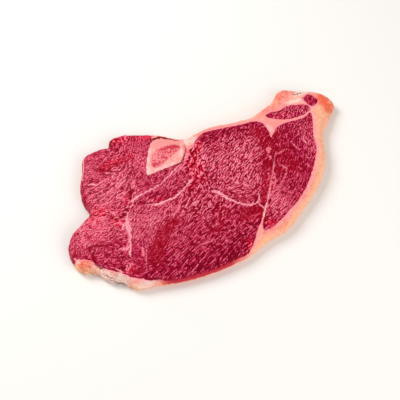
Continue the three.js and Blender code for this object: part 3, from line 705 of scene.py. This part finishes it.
def marks(x, y):
    """The marks that the finishes read. Those of lines hold the reach, and the others their table's
    bells with noise, the grain its strokes, and both grain and crimson a share of the lumps."""
    found = {name: line_reach(lines, x, y) for name, lines in LINE_MARKS.items()}
    for name, (table, *waves) in BELL_MARKS.items():
        uneven = sum(reach * noise(x, y, size, seed) for reach, size, seed in waves)
        found[name] = bells(x, y, table) + uneven
    found["lump"] = lumps(x, y)
    found["grain"] = grain_strokes(x, y) + LUMP_GRAIN * found["lump"]
    found["crimson"] -= LUMP_CRIMSON * found["lump"]
    found["tone"] += BASE_TONE
    found["skin"] = side_skin(x, y)
    return found


def slot_of(node):
    """Material slot of a node, as the record gives it."""
    return next(part["material_slot"] for part in frame["record"]["subparts"] if part["node"] == node)


def surface_height(x, y, found, grain_depth, lump_depth):
    """Height of the cut face: swells, the quarter ellipse of the roll near the edge, and on them
    grain, lumps and a groove along each seam, fold and border."""
    k = np.clip(1 - found["out"] / roll_at(x, y), 0, 1)
    height = WAIST + (cut_height(x, y) - WAIST) * np.sqrt(1 - k * k)
    height += (grain_depth + FIBRE_RELIEF * found["fibre"]) * (found["grain"] - GRAIN_LEVEL)
    height += TORN_RELIEF * (found["lump"] - LUMP_LEVEL) + lump_depth * noise(x, y, 11, 41)
    for mark, depth, flat, slope in GROOVES:
        height -= depth * np.exp(-(np.clip(found[mark] + flat, 0, None) / slope) ** 2)
    return height


def side_rows(rim, drop, depth):
    """Places on the side below a rim point, from just under the cut face to the underside.

    Above the waist the inset and height follow the roll's quarter ellipse, and below it a smaller
    quarter ellipse that draws in to the underside. The side swells with noise along and down it.
    """
    roll = roll_at(*lattice.edge[rim].T)
    above = np.linspace(1, 0, ROLL_ROWS + 1)[1:, None] * edge_angle(*lattice.edge[rim].T)
    below = np.linspace(0, math.pi / 2, UNDER_ROWS + 1)[1:, None] + 0 * roll
    inset = np.vstack([roll * (1 - np.cos(above)), UNDER_INSET * (1 - np.cos(below))])
    height = np.vstack([WAIST + drop * np.sin(above), WAIST * (1 - np.sin(below))])
    along = lattice.edge_along[rim][None, :] + 0 * height
    folds = noise(along, 0.45 * height, 2.4, 61) + 0.8 * noise(along, height, 7.0, 62)
    fade = smooth_step(0, 3, height) * np.linspace(0, 1, len(height))[:, None] ** 0.5
    inset = inset + depth * fade * (folds + 0.3)
    place = lattice.edge[rim][None] + inset[:, :, None] * lattice.inward[rim][None]
    return place[:, :, 0], place[:, :, 1], height, folds


def border_edges(cells):
    """Corner numbers of the border's edges, start and end, with the piece on their left."""
    number = lattice.number
    padded = np.pad(cells, 1)
    middle = padded[1:-1, 1:-1]
    rules = [
        (padded[:-2, 1:-1], (0, 0), (0, 1)), (padded[1:-1, 2:], (0, 1), (1, 1)),
        (padded[2:, 1:-1], (1, 1), (1, 0)), (padded[1:-1, :-2], (1, 0), (0, 0)),
    ]
    starts, ends = [], []
    for neighbour, (r0, c0), (r1, c1) in rules:
        row, column = np.nonzero(middle & ~neighbour)
        starts.append(number[row + r0, column + c0])
        ends.append(number[row + r1, column + c1])
    return np.concatenate(starts), np.concatenate(ends)


def underside_faces(cells, grid):
    """Quads and triangles of the underside: cells are joined two by two where the piece fills all
    four, and a joined block beside one that isn't is a fan of triangles round its middle."""
    spare = [(0, n % 2) for n in cells.shape]
    cells, grid = np.pad(cells, spare), np.pad(grid, spare)
    joined = cells[::2, ::2] & cells[1::2, ::2] & cells[::2, 1::2] & cells[1::2, 1::2]
    row, column = np.nonzero(cells & ~np.kron(joined, np.ones((2, 2), bool)))
    single = np.stack([grid[row, column], grid[row + 1, column], grid[row + 1, column + 1],
                       grid[row, column + 1]], axis=1)
    i, j = np.nonzero(joined)
    around = np.pad(joined, 1)
    finer = ~np.stack([around[i, j + 1], around[i + 1, j + 2], around[i + 2, j + 1], around[i + 1, j]])
    round_block = [(0, 0), (0, 1), (0, 2), (1, 2), (2, 2), (2, 1), (2, 0), (1, 0)]
    ring = np.stack([grid[2 * i + down, 2 * j + over] for down, over in round_block])
    middle = grid[2 * i + 1, 2 * j + 1]
    plain = ~finer.any(axis=0)
    triangles = []
    for side in range(4):
        start, halfway, end = ring[2 * side], ring[2 * side + 1], ring[(2 * side + 2) % 8]
        whole, split = ~finer[side] & ~plain, finer[side]
        triangles += [np.stack([middle, end, start], axis=1)[whole],
                      np.stack([middle, halfway, start], axis=1)[split],
                      np.stack([middle, end, halfway], axis=1)[split]]
    return np.concatenate([single, ring[::-2].T[:, [3, 0, 1, 2]][plain]]), np.concatenate(triangles)


def wall_faces(ladder, low, start, end, order):
    """Quads and triangles down the sides of a piece, for the border edges from start to end: a full
    ladder of rows down the outer side, one tall quad down a seam, and a fan where one meets the other.

    order gives each border point's column in the ladder, or -1 on a seam."""
    a, b = order[start], order[end]
    outer, seam = (a >= 0) & (b >= 0), (a < 0) & (b < 0)
    rows_a, rows_b = ladder[:, a[outer]], ladder[:, b[outer]]
    quads = [np.stack([rows_a[:-1], rows_a[1:], rows_b[1:], rows_b[:-1]], axis=2).reshape(-1, 4),
             np.stack([start, start + low, end + low, end], axis=1)[seam]]
    leaves, joins = (a >= 0) & (b < 0), (a < 0) & (b >= 0)
    last, first = end[leaves], start[joins]
    from_side, to_side = ladder[:, a[leaves]], ladder[:, b[joins]]
    fans = [np.stack([from_side[:-1], from_side[1:], last + 0 * from_side[1:]], axis=2).reshape(-1, 3),
            np.stack([from_side[-1], last + low, last], axis=1),
            np.stack([first + 0 * to_side[1:], to_side[1:], to_side[:-1]], axis=2).reshape(-1, 3),
            np.stack([first, first + low, to_side[-1]], axis=1)]
    return np.concatenate(quads), np.concatenate(fans)


def piece_surface(node, number):
    """Closed surface of one piece: its cells as the cut face, the same cells as the underside, and
    rows between the two borders, down the rolled side or straight down a seam. Each point has its
    marks, and those of the side are read further out, as if the side were unrolled."""
    cells = lattice.labels == number
    row, column = np.nonzero(cells)
    grid = lattice.number
    quads = np.stack([grid[row, column], grid[row, column + 1], grid[row + 1, column + 1],
                      grid[row + 1, column]], axis=1)
    used, quads = np.unique(quads, return_inverse=True)
    quads = quads.reshape(-1, 4)
    starts, ends = (np.searchsorted(used, side) for side in border_edges(cells))
    border = np.unique(starts)

    x, y, inset, rim = (values[used] for values in (lattice.x, lattice.y, lattice.inset, lattice.rim))
    grain_depth, lump_depth = RELIEF[slot_of(node)]
    seam_points = np.stack([x[border], y[border]], axis=1)[lattice.at_seam[used][border]]
    meet = np.minimum(nearest(seam_points, x, y)[0], FAR) if len(seam_points) else np.full(len(x), FAR)
    found = {**marks(x, y), "meet": meet, "out": inset}
    top = surface_height(x, y, found, grain_depth, lump_depth)

    pull = (UNDER_INSET - edge_inset(*lattice.edge[rim].T)) * (1 - smooth_step(*UNDER_FADE, inset))
    low_x, low_y = x + pull * lattice.inward[rim, 0], y + pull * lattice.inward[rim, 1]

    outer = border[lattice.at_side[used][border]]
    drop = (top[outer] - WAIST) / np.sin(edge_angle(*lattice.edge[rim[outer]].T))
    side_x, side_y, side_z, folds = (rows[:-1] for rows in side_rows(rim[outer], drop, lump_depth))
    places = np.concatenate([np.stack(part, axis=-1).reshape(-1, 3) for part in (
        (x, y, top), (side_x, side_y, side_z), (low_x, low_y, np.zeros_like(x)))])
    first_low = len(used) + side_x.size
    order = np.full(len(used), -1)
    order[outer] = np.arange(len(outer))
    ladder = np.vstack([outer, len(used) + np.arange(side_x.size).reshape(side_x.shape), first_low + outer])
    walls, fans = wall_faces(ladder, first_low, starts, ends, order)
    under = underside_faces(cells, grid)
    low_quads, low_fans = (first_low + np.searchsorted(used, faces) for faces in under)
    quads = np.concatenate([quads, walls, low_quads])
    triangles = np.concatenate([fans, low_fans])

    below = top[outer] - side_z
    ahead = MARK_DROP * lattice.inward[rim[outer]]
    side_found = marks((side_x - below * ahead[:, 0]).ravel(), (side_y - below * ahead[:, 1]).ravel())
    share = np.linspace(0, 1, len(side_x))[:, None]
    side_found["grain"] = ((1 - share) * side_found["grain"].reshape(side_x.shape) + share * folds).ravel()
    side_found["meet"] = np.minimum(meet[outer] + SEAM_DROP * below, FAR).ravel()
    side_found["out"] = np.zeros(side_x.size)
    parts = (found, side_found, {**marks(low_x, low_y), "meet": meet, "out": inset})
    values = {name: np.concatenate([part[name] for part in parts]) for name in found}
    sharp = np.zeros(len(places), bool)
    sharp[border[order[border] < 0]] = True

    kept, renumbered = np.unique(np.concatenate([quads.ravel(), triangles.ravel()]), return_inverse=True)
    quads, triangles = renumbered[:quads.size].reshape(-1, 4), renumbered[quads.size:].reshape(-1, 3)
    return places[kept], quads, triangles, {name: value[kept] for name, value in values.items()}, sharp[kept]


def new_object(name, data):
    """New object in the scene with the given mesh, light or camera."""
    made = bpy.data.objects.new(name, data)
    bpy.context.scene.collection.objects.link(made)
    return made


def mesh_object(name, places, quads, triangles, values, sharp):
    """Object at the origin from places in millimetres, faces, marks and crease points."""
    corners = np.concatenate([quads.ravel(), triangles.ravel()])
    first_corners = np.concatenate([np.arange(0, quads.size, 4), np.arange(quads.size, corners.size, 3)])
    mesh = bpy.data.meshes.new(name)
    mesh.vertices.add(len(places))
    mesh.vertices.foreach_set("co", (places * MM).astype(np.float32).ravel())
    mesh.loops.add(len(corners))
    mesh.loops.foreach_set("vertex_index", corners.astype(np.int32))
    mesh.polygons.add(len(first_corners))
    mesh.polygons.foreach_set("loop_start", first_corners.astype(np.int32))
    mesh.update(calc_edges=True)
    mesh.polygons.foreach_set("use_smooth", np.ones(len(first_corners), bool))
    for mark, value in values.items():
        mesh.attributes.new(mark, "FLOAT", "POINT").data.foreach_set("value", value.astype(np.float32))
    pairs = np.empty(2 * len(mesh.edges), np.int32)
    mesh.edges.foreach_get("vertices", pairs)
    crease = sharp[pairs.reshape(-1, 2)].all(axis=1)
    mesh.attributes.new("sharp_edge", "BOOLEAN", "EDGE").data.foreach_set("value", crease)
    mesh.validate()
    return new_object(name, mesh)


def shade(red, green, blue):
    """Linear colour from the 0 to 255 values of a screen."""
    return tuple(((c / 255 + 0.055) / 1.055) ** 2.4 if c > 10 else c / 255 / 12.92
                 for c in (red, green, blue)) + (1.0,)


class Nodes:
    """A short hand for making and joining shader nodes. A value is a number, another node's output
    or a colour as three screen values."""

    def __init__(self, tree):
        self.tree = tree

    def add(self, kind, inputs=None, **settings):
        node = self.tree.nodes.new(kind)
        for name, value in settings.items():
            setattr(node, name, value)
        for name, value in (inputs or {}).items():
            self.put(node.inputs[name], value)
        return node

    def put(self, socket, value):
        if isinstance(value, bpy.types.NodeSocket):
            self.tree.links.new(value, socket)
        else:
            socket.default_value = shade(*value) if isinstance(value, tuple) else value

    def fill(self, node, **inputs):
        """Puts values into a node's inputs, named with _ for a space, and gives its outputs."""
        for label, value in inputs.items():
            self.put(node.inputs[label.replace("_", " ")], value)
        return node.outputs

    def use(self, group, **inputs):
        """Places a node group with its values and gives its outputs."""
        return self.fill(self.add("ShaderNodeGroup", node_tree=group), **inputs)

    def place(self):
        return self.add("ShaderNodeTexCoord").outputs["Object"]

    def mark(self, name):
        return self.add("ShaderNodeAttribute", attribute_name=name).outputs["Fac"]

    def math(self, operation, first, second, clamp=False):
        inputs = {0: first, 1: second}
        return self.add("ShaderNodeMath", inputs, operation=operation, use_clamp=clamp).outputs[0]

    def times(self, first, second):
        return self.math("MULTIPLY", first, second)

    def swing(self, value, reach):
        """Value of 0 to 1 turned into one about zero, half the reach each way."""
        return self.times(self.math("SUBTRACT", value, 0.5), reach)

    def span(self, value, low, high, to_low=0.0, to_high=1.0):
        """Value mapped from one range to another, smoothly and clamped."""
        return self.add("ShaderNodeMapRange", {"Value": value, "From Min": low, "From Max": high,
                                               "To Min": to_low, "To Max": to_high},
                        interpolation_type="SMOOTHSTEP").outputs["Result"]

    def mix(self, share, first, second):
        """Colour that goes from the first to the second as the share goes from 0 to 1."""
        return self.add("ShaderNodeMix", {0: share, 6: first, 7: second}, data_type="RGBA").outputs[2]

    def ramp(self, share, stops):
        """Colour ramp over the share, with its stops in order, each a position and a colour."""
        ramp = self.add("ShaderNodeValToRGB", {"Fac": share})
        elements = ramp.color_ramp.elements
        elements.remove(elements[1])
        for number, (position, colour) in enumerate(stops):
            stop = elements.new(position) if number else elements[0]
            stop.position, stop.color = position, shade(*colour)
        return ramp.outputs["Color"]

    def noise(self, size, detail=2.0, roughness=0.5):
        """Noise in 0 to 1 over the piece, with features of about the given size in millimetres."""
        return self.add("ShaderNodeTexNoise", {"Vector": self.place(), "Scale": 1 / (size * MM),
                                               "Detail": detail, "Roughness": roughness}).outputs["Fac"]

    def bump(self, height, depth):
        """Normal of a small relief from a height, with its depth in millimetres."""
        return self.add("ShaderNodeBump", {"Height": height, "Distance": depth * MM}).outputs["Normal"]


def group(name, inputs, outputs):
    """New shader node group with its ends, from the inputs' names and values and the outputs' names."""
    tree = bpy.data.node_groups.new(name, "ShaderNodeTree")
    for label, value in inputs.items():
        socket = tree.interface.new_socket(label, in_out="INPUT", socket_type="NodeSocketFloat")
        socket.default_value = value
    for label in outputs:
        tree.interface.new_socket(label, in_out="OUTPUT", socket_type="NodeSocketFloat")
    nodes = Nodes(tree)
    return nodes, nodes.add("NodeGroupInput").outputs, nodes.add("NodeGroupOutput").inputs


def gristle_group():
    """Lines in the surface: a line's reach, roughened by noise, gives a mask that breaks up."""
    nodes, given, out = group("Gristle lines", {"Reach": 0.0, "Ragged": 0.6}, ["Mask"])
    rough = nodes.swing(nodes.noise(1.6, 3.0), nodes.times(given["Ragged"], 4.0))
    nodes.put(out["Mask"], nodes.span(nodes.math("ADD", given["Reach"], rough), 0.65, -0.25))
    return nodes.tree


def grain_group():
    """Fine cut grain: the surface's own strokes with finer pits, as a shade and as a height."""
    inputs = {"Strokes": 0.0, "Pits": 0.4, "Pit size": 1.1}
    nodes, given, out = group("Cut grain", inputs, ["Shade", "Height"])
    scale = nodes.math("DIVIDE", 1 / MM, given["Pit size"])
    fine = nodes.add("ShaderNodeTexNoise", {"Vector": nodes.place(), "Scale": scale, "Detail": 2.0})
    pits = nodes.swing(fine.outputs["Fac"], given["Pits"])
    total = nodes.math("ADD", nodes.times(given["Strokes"], 0.60), nodes.times(pits, 2.0))
    nodes.put(out["Shade"], nodes.math("ADD", total, 0.5, clamp=True))
    nodes.put(out["Height"], pits)
    return nodes.tree


GRISTLE = gristle_group()
GRAIN = grain_group()


class Paint:
    """Colour of a finish, worked up in layers, each as thick as its share of 0 to 1."""

    def __init__(self, nodes, colour):
        self.nodes, self.colour = nodes, colour

    def lay(self, share, tint):
        self.colour = self.nodes.mix(share, self.colour, tint)

    def by_mark(self, mark, low, high, most, tint, within=1.0):
        """Layer that thickens as a mark goes from low to high, within a mask."""
        share = self.nodes.span(self.nodes.mark(mark), low, high, 0.0, most)
        self.lay(self.nodes.times(within, share), tint)

    def by_noise(self, size, detail, low, high, most, tint, roughness=0.5):
        """Layer that thickens as noise with features of the given size goes from low to high."""
        self.lay(self.nodes.span(self.nodes.noise(size, detail, roughness), low, high, 0.0, most), tint)

    def by_line(self, mark, ragged, most, tint):
        """Layer along a mark's lines, with a ragged edge. Gives the lines' mask."""
        mask = self.nodes.use(GRISTLE, Reach=self.nodes.mark(mark), Ragged=ragged)["Mask"]
        self.lay(self.nodes.times(mask, most), tint)
        return mask


def material(name):
    """New material, its node helper and its Principled shader."""
    made = bpy.data.materials.new(name)
    made.use_nodes = True
    return made, Nodes(made.node_tree), made.node_tree.nodes["Principled BSDF"]


# Colours of the lean from its pits to its ridges: position on the ramp, colour. Besides the meat's own
# grain, the dark pits are painted shade in the hollows and the pale pink tops are painted wet highlights on
# the ridges.
LEAN_RAMPS = {
    "deep": [(0.14, (122, 0, 28)), (0.36, (150, 0, 42)), (0.60, (202, 26, 76)), (0.88, (242, 108, 146))],
    "dusty_and_sheen": [(0.14, (130, 0, 30)), (0.36, (174, 14, 54)), (0.58, (230, 84, 112)), (0.86, (248, 146, 170))],
    "clear": [(0.15, (142, 0, 24)), (0.50, (155, 0, 31)), (0.76, (188, 10, 54)), (0.96, (240, 88, 124))],
    "raw": [(0.14, (164, 0, 32)), (0.40, (220, 8, 58)), (0.62, (242, 62, 98)), (0.90, (255, 148, 168))],
}
SKIN_FROM, SKIN_TO = 8 * MM, 12 * MM    # heights between which the thin skin of the side sets in
SKIN_TEAR = 14 * MM                     # how unevenly it does so
SAW_LINES = 240.0                       # scale of the waves, for saw lines about 1.9 mm apart
MARROW_CELLS = 560.0                    # pores to a metre of marrow


def lean_finish():
    """Moist red muscle: deep crimson pits and pink ridges, partly the grain's own colour, partly painted
    shade in the pits and painted wet highlights on the ridges; dusty or deep by place, the dusty pink partly
    a painted broad sheen; clear crimson in bands, with pale gristle lines, dark folds with painted shadows
    along them, a deeper red beside its borders and a browner outer edge, both painted shade, and a pale
    skin."""
    made, nodes, shader = material("Lean")
    grain = nodes.use(GRAIN, Strokes=nodes.mark("grain"), Pits=0.85, Pit_size=0.95)
    share = nodes.math("ADD", grain["Shade"], nodes.span(nodes.mark("tone"), -0.3, 1.2, -0.15, 0.06))
    deep, dusty_and_sheen, clear, raw = (nodes.ramp(share, stops) for stops in LEAN_RAMPS.values())
    lean = Paint(nodes, deep)
    # Dusty pink where the tone is high: partly the meat's own tone, partly a painted broad sheen.
    lean.by_mark("tone", 0.05, 0.95, 1.0, dusty_and_sheen)
    lean.by_mark("crimson", 0.15, 0.85, 0.95, clear)
    lean.by_mark("raw", 0.1, 0.9, 0.9, raw)
    # Deeper red beside the borders where pieces meet: painted shade in the seams.
    lean.by_mark("meet", 1.2, 0.0, 0.3, (164, 0, 44))
    # Browner red towards the outer edge, where the side rolls down: painted shade.
    lean.by_mark("out", 4.0, 0.4, 0.45, (172, 32, 42))
    lean.by_line("pink", 1.0, 0.75, (252, 128, 152))
    # Dark folds, with the shadow in the folds and clefts painted in.
    fold_and_shadow = lean.by_line("dark_fold_shadow", 0.7, 0.85, (134, 0, 32))
    streak = nodes.mix(nodes.span(nodes.noise(2.0), 0.3, 0.6), (246, 116, 144), (255, 174, 186))
    pale = lean.by_line("pale", 0.8, 1.0, streak)
    height = nodes.add("ShaderNodeSeparateXYZ", {"Vector": nodes.place()}).outputs["Z"]
    torn = nodes.math("ADD", height, nodes.swing(nodes.noise(2.4, 3.0), SKIN_TEAR))
    lean.lay(nodes.times(nodes.mark("skin"), nodes.span(torn, SKIN_FROM, SKIN_TO)), (242, 156, 150))
    wet = nodes.span(nodes.noise(9.0, 3.0), 0.4, 0.6, 0.1, 0.9)
    dry = nodes.math("SUBTRACT", 1.0, nodes.math("MAXIMUM", fold_and_shadow, pale), clamp=True)
    ridges = nodes.times(dry, nodes.span(share, 0.55, 0.85))
    nodes.fill(shader, Base_Color=lean.colour, Roughness=nodes.span(share, 0.0, 1.0, 0.55, 0.36),
               Specular_IOR_Level=0.04, Coat_Roughness=0.14, Coat_Weight=nodes.times(wet, ridges),
               Normal=nodes.bump(grain["Height"], 0.8))
    return made


def fat_finish():
    """Waxy fat: pink beside the meat, cream and peach outwards, the cream partly painted light on the outer
    side, orange in places as painted shade, rosy or white in places, with fine red veins and fibres, painted
    shadows along its folds, and flushed where the meat shows through."""
    made, nodes, shader = material("Fat")
    broad = nodes.noise(6.0, 3.0, 0.6)
    reach = nodes.math("ADD", nodes.mark("meet"), nodes.swing(broad, 8.0))
    fat = Paint(nodes, nodes.mix(nodes.span(reach, 1.2, 8.0), (254, 158, 160), (252, 186, 150)))
    fat.by_noise(3.0, 3.0, 0.5, 0.7, 0.6, (252, 206, 170))
    fat.by_mark("rosy", 0.1, 0.9, 0.9, (250, 146, 148))
    # Orange where the fat slopes away: painted shade with a painted warm bounce.
    fat.by_mark("orange_shade", 0.1, 0.9, 0.95, (240, 96, 62))
    # Cream towards the outer side: partly the fat's own colour, partly painted light that brightens the
    # side.
    pale = nodes.span(nodes.noise(9.0, 3.0, 0.6), 0.35, 0.65, 0.1, 0.8)
    fat.by_mark("out", 4.0, 0.0, 1.0, (255, 190, 148), pale)
    fat.by_noise(3.4, 3.0, 0.5, 0.68, 0.6, (234, 150, 110), 0.6)
    fat.by_noise(4.2, 4.0, 0.56, 0.72, 0.5, (240, 112, 92), 0.65)
    fat.by_noise(1.5, 2.0, 0.56, 0.70, 0.45, (236, 140, 112))
    fat.by_mark("white", 0.1, 0.8, 0.95, (244, 212, 204))
    fibre = nodes.span(nodes.mark("fibre"), 0.1, 0.9)
    white = nodes.mark("white")
    fat.by_mark("grain", 0.1, -0.6, 0.8, nodes.mix(white, (232, 92, 76), (214, 150, 142)), fibre)
    fat.by_mark("grain", 0.1, 0.7, 0.85, nodes.mix(white, (254, 164, 148), (250, 224, 214)), fibre)
    fat.by_mark("meet", 1.8, 0.0, 0.7, (250, 134, 156))
    flush = nodes.span(nodes.mark("flush"), 0.1, 0.9)
    fat.by_mark("meet", 4.6, 2.4, 1.0, (234, 96, 78), flush)
    fat.by_mark("meet", 2.2, 1.2, 1.0, (188, 34, 60), flush)
    fat.by_line("pale", 0.5, 0.7, (255, 214, 196))
    # Painted shadows along the dark folds and clefts.
    fat.by_mark("dark_fold_shadow", 0.8, -0.1, 0.85, (96, 22, 30))
    nodes.fill(shader, Base_Color=fat.colour, Roughness=nodes.span(broad, 0.3, 0.7, 0.36, 0.56),
               Specular_IOR_Level=0.2, Normal=nodes.bump(nodes.noise(1.8, 3.0), 0.5))
    return made


def bone_finish():
    """Sawn bone: pale pink with a whiter outer wall, a mottled skin, faint saw lines and a dark line of
    painted shadow.
    """
    made, nodes, shader = material("Bone")
    bone = Paint(nodes, (250, 176, 168))
    bone.by_noise(3.0, 3.0, 0.35, 0.7, 1.0, (240, 144, 142))
    bone.by_mark("rosy", 0.1, 0.9, 0.8, (240, 144, 144))
    bone.by_mark("white", 0.1, 0.8, 0.9, (255, 202, 202))
    bone.by_mark("meet", 0.7, 0.0, 0.6, (196, 70, 88))
    mottled = nodes.span(nodes.noise(3.0, 4.0, 0.6), 0.35, 0.65)
    bone.by_mark("out", 5.2, 4.2, 1.0, nodes.mix(mottled, (252, 176, 146), (232, 112, 100)))
    bone.by_mark("raw", 0.5, 0.9, 0.9, (216, 74, 94))
    bone.by_noise(1.4, 2.0, 0.52, 0.7, 0.5, (214, 138, 134))
    # Painted shadow along the dark line.
    bone.by_mark("dark_fold_shadow", 1.0, -0.2, 1.0, (132, 6, 4))
    saw = nodes.add("ShaderNodeTexWave", {"Vector": nodes.place(), "Scale": SAW_LINES, "Distortion": 2.0},
                    bands_direction="DIAGONAL")
    nodes.fill(shader, Base_Color=bone.colour, Roughness=0.5, Specular_IOR_Level=0.15,
               Normal=nodes.bump(saw.outputs["Fac"], 0.15))
    return made


def marrow_finish():
    """Spongy marrow: pink with pale struts, redder blood in its pores and along its far side."""
    made, nodes, shader = material("Marrow")
    cells = nodes.add("ShaderNodeTexVoronoi", {"Vector": nodes.place(), "Scale": MARROW_CELLS},
                      feature="SMOOTH_F1").outputs["Distance"]
    marrow = Paint(nodes, nodes.mix(nodes.span(cells, 0.15, 0.7), (252, 150, 154), (208, 58, 84)))
    red = nodes.math("ADD", nodes.mark("blood"), nodes.swing(nodes.noise(1.8), 2.4))
    marrow.lay(nodes.span(red, 0.2, 0.8, 0.0, 0.9), (196, 34, 62))
    marrow.by_mark("meet", 1.0, 0.0, 0.5, (244, 156, 154))
    nodes.fill(shader, Base_Color=marrow.colour, Roughness=0.45, Specular_IOR_Level=0.3,
               Normal=nodes.bump(cells, 0.5))
    return made


FINISHES = {"lean": lean_finish(), "fat": fat_finish(), "bone": bone_finish(), "marrow": marrow_finish()}


def dress(made, node):
    """Finish of the node's slot, and the piece stands for the node."""
    slot = slot_of(node)
    made.data.materials.append(FINISHES[slot])
    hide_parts(node)
    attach(made, "root")


for place_in_order, node_name in enumerate([*OUTLINES, FAT]):
    dress(mesh_object(node_name + "_cut", *piece_surface(node_name, place_in_order)), node_name)


# Studio, in metres
CAMERA_TARGET = (-0.0193, -0.0090, 0.0)
CAMERA_DISTANCE = 0.993
CAMERA_AZIMUTH = 23.25     # turn of the view from +Y towards +X, in degrees
CAMERA_ELEVATION = 57.62
CAMERA_LENS = 82.2         # mm on a 36 mm sensor
SENSOR = 36.0
FLOOR = 6.0                # half the side of the floor
FLOOR_COLOUR = (0.9, 0.89, 0.87, 1)
SURROUNDINGS = (1.0, 0.98, 0.96, 1)
SURROUNDINGS_STRENGTH = 0.42

# Square area lights: name, place, side, power in watts, colour
LIGHTS = [
    ("Window", (-0.6, 1.0, 1.1), 0.8, 20.0, (1.0, 0.98, 0.95)),
    ("Fill", (0.5, -1.2, 0.7), 1.2, 12.5, (1.0, 0.97, 0.94)),
]


def aimed(name, data, location, look):
    """New object at a place, looking along a direction."""
    made = new_object(name, data)
    made.location = location
    made.rotation_euler = look.to_track_quat("-Z", "Y").to_euler()
    return made


def place_camera():
    """Camera at the viewing angle, looking at the target from its distance."""
    turn, rise = math.radians(CAMERA_AZIMUTH), math.radians(CAMERA_ELEVATION)
    look = Vector((math.sin(turn) * math.cos(rise), math.cos(turn) * math.cos(rise), -math.sin(rise)))
    data = bpy.data.cameras.new("Camera")
    data.lens = CAMERA_LENS
    data.sensor_width = SENSOR
    bpy.context.scene.camera = aimed("Camera", data, Vector(CAMERA_TARGET) - CAMERA_DISTANCE * look, look)


def place_floor():
    """Plain pale floor, level with the underside."""
    mesh = bpy.data.meshes.new("Floor")
    corners = [(-FLOOR, -FLOOR, 0), (FLOOR, -FLOOR, 0), (FLOOR, FLOOR, 0), (-FLOOR, FLOOR, 0)]
    mesh.from_pydata(corners, [], [(0, 1, 2, 3)])
    finish, _, shader = material("Floor")
    shader.inputs["Base Color"].default_value = FLOOR_COLOUR
    shader.inputs["Roughness"].default_value = 0.8
    mesh.materials.append(finish)
    floor = new_object("Floor", mesh)


def place_light(name, location, side, power, colour):
    """Square area light that looks at the middle of the steak."""
    data = bpy.data.lights.new(name, "AREA")
    data.size = side
    data.energy = power
    data.color = colour
    aimed(name, data, location, -Vector(location))


def place_world():
    """Even pale surroundings."""
    world = bpy.data.worlds.new("Studio")
    world.use_nodes = True
    background = world.node_tree.nodes["Background"]
    background.inputs["Color"].default_value = SURROUNDINGS
    background.inputs["Strength"].default_value = SURROUNDINGS_STRENGTH
    bpy.context.scene.world = world


place_camera()
place_floor()
place_world()
for light in LIGHTS:
    place_light(*light)
bpy.context.scene.view_settings.view_transform = "Standard"
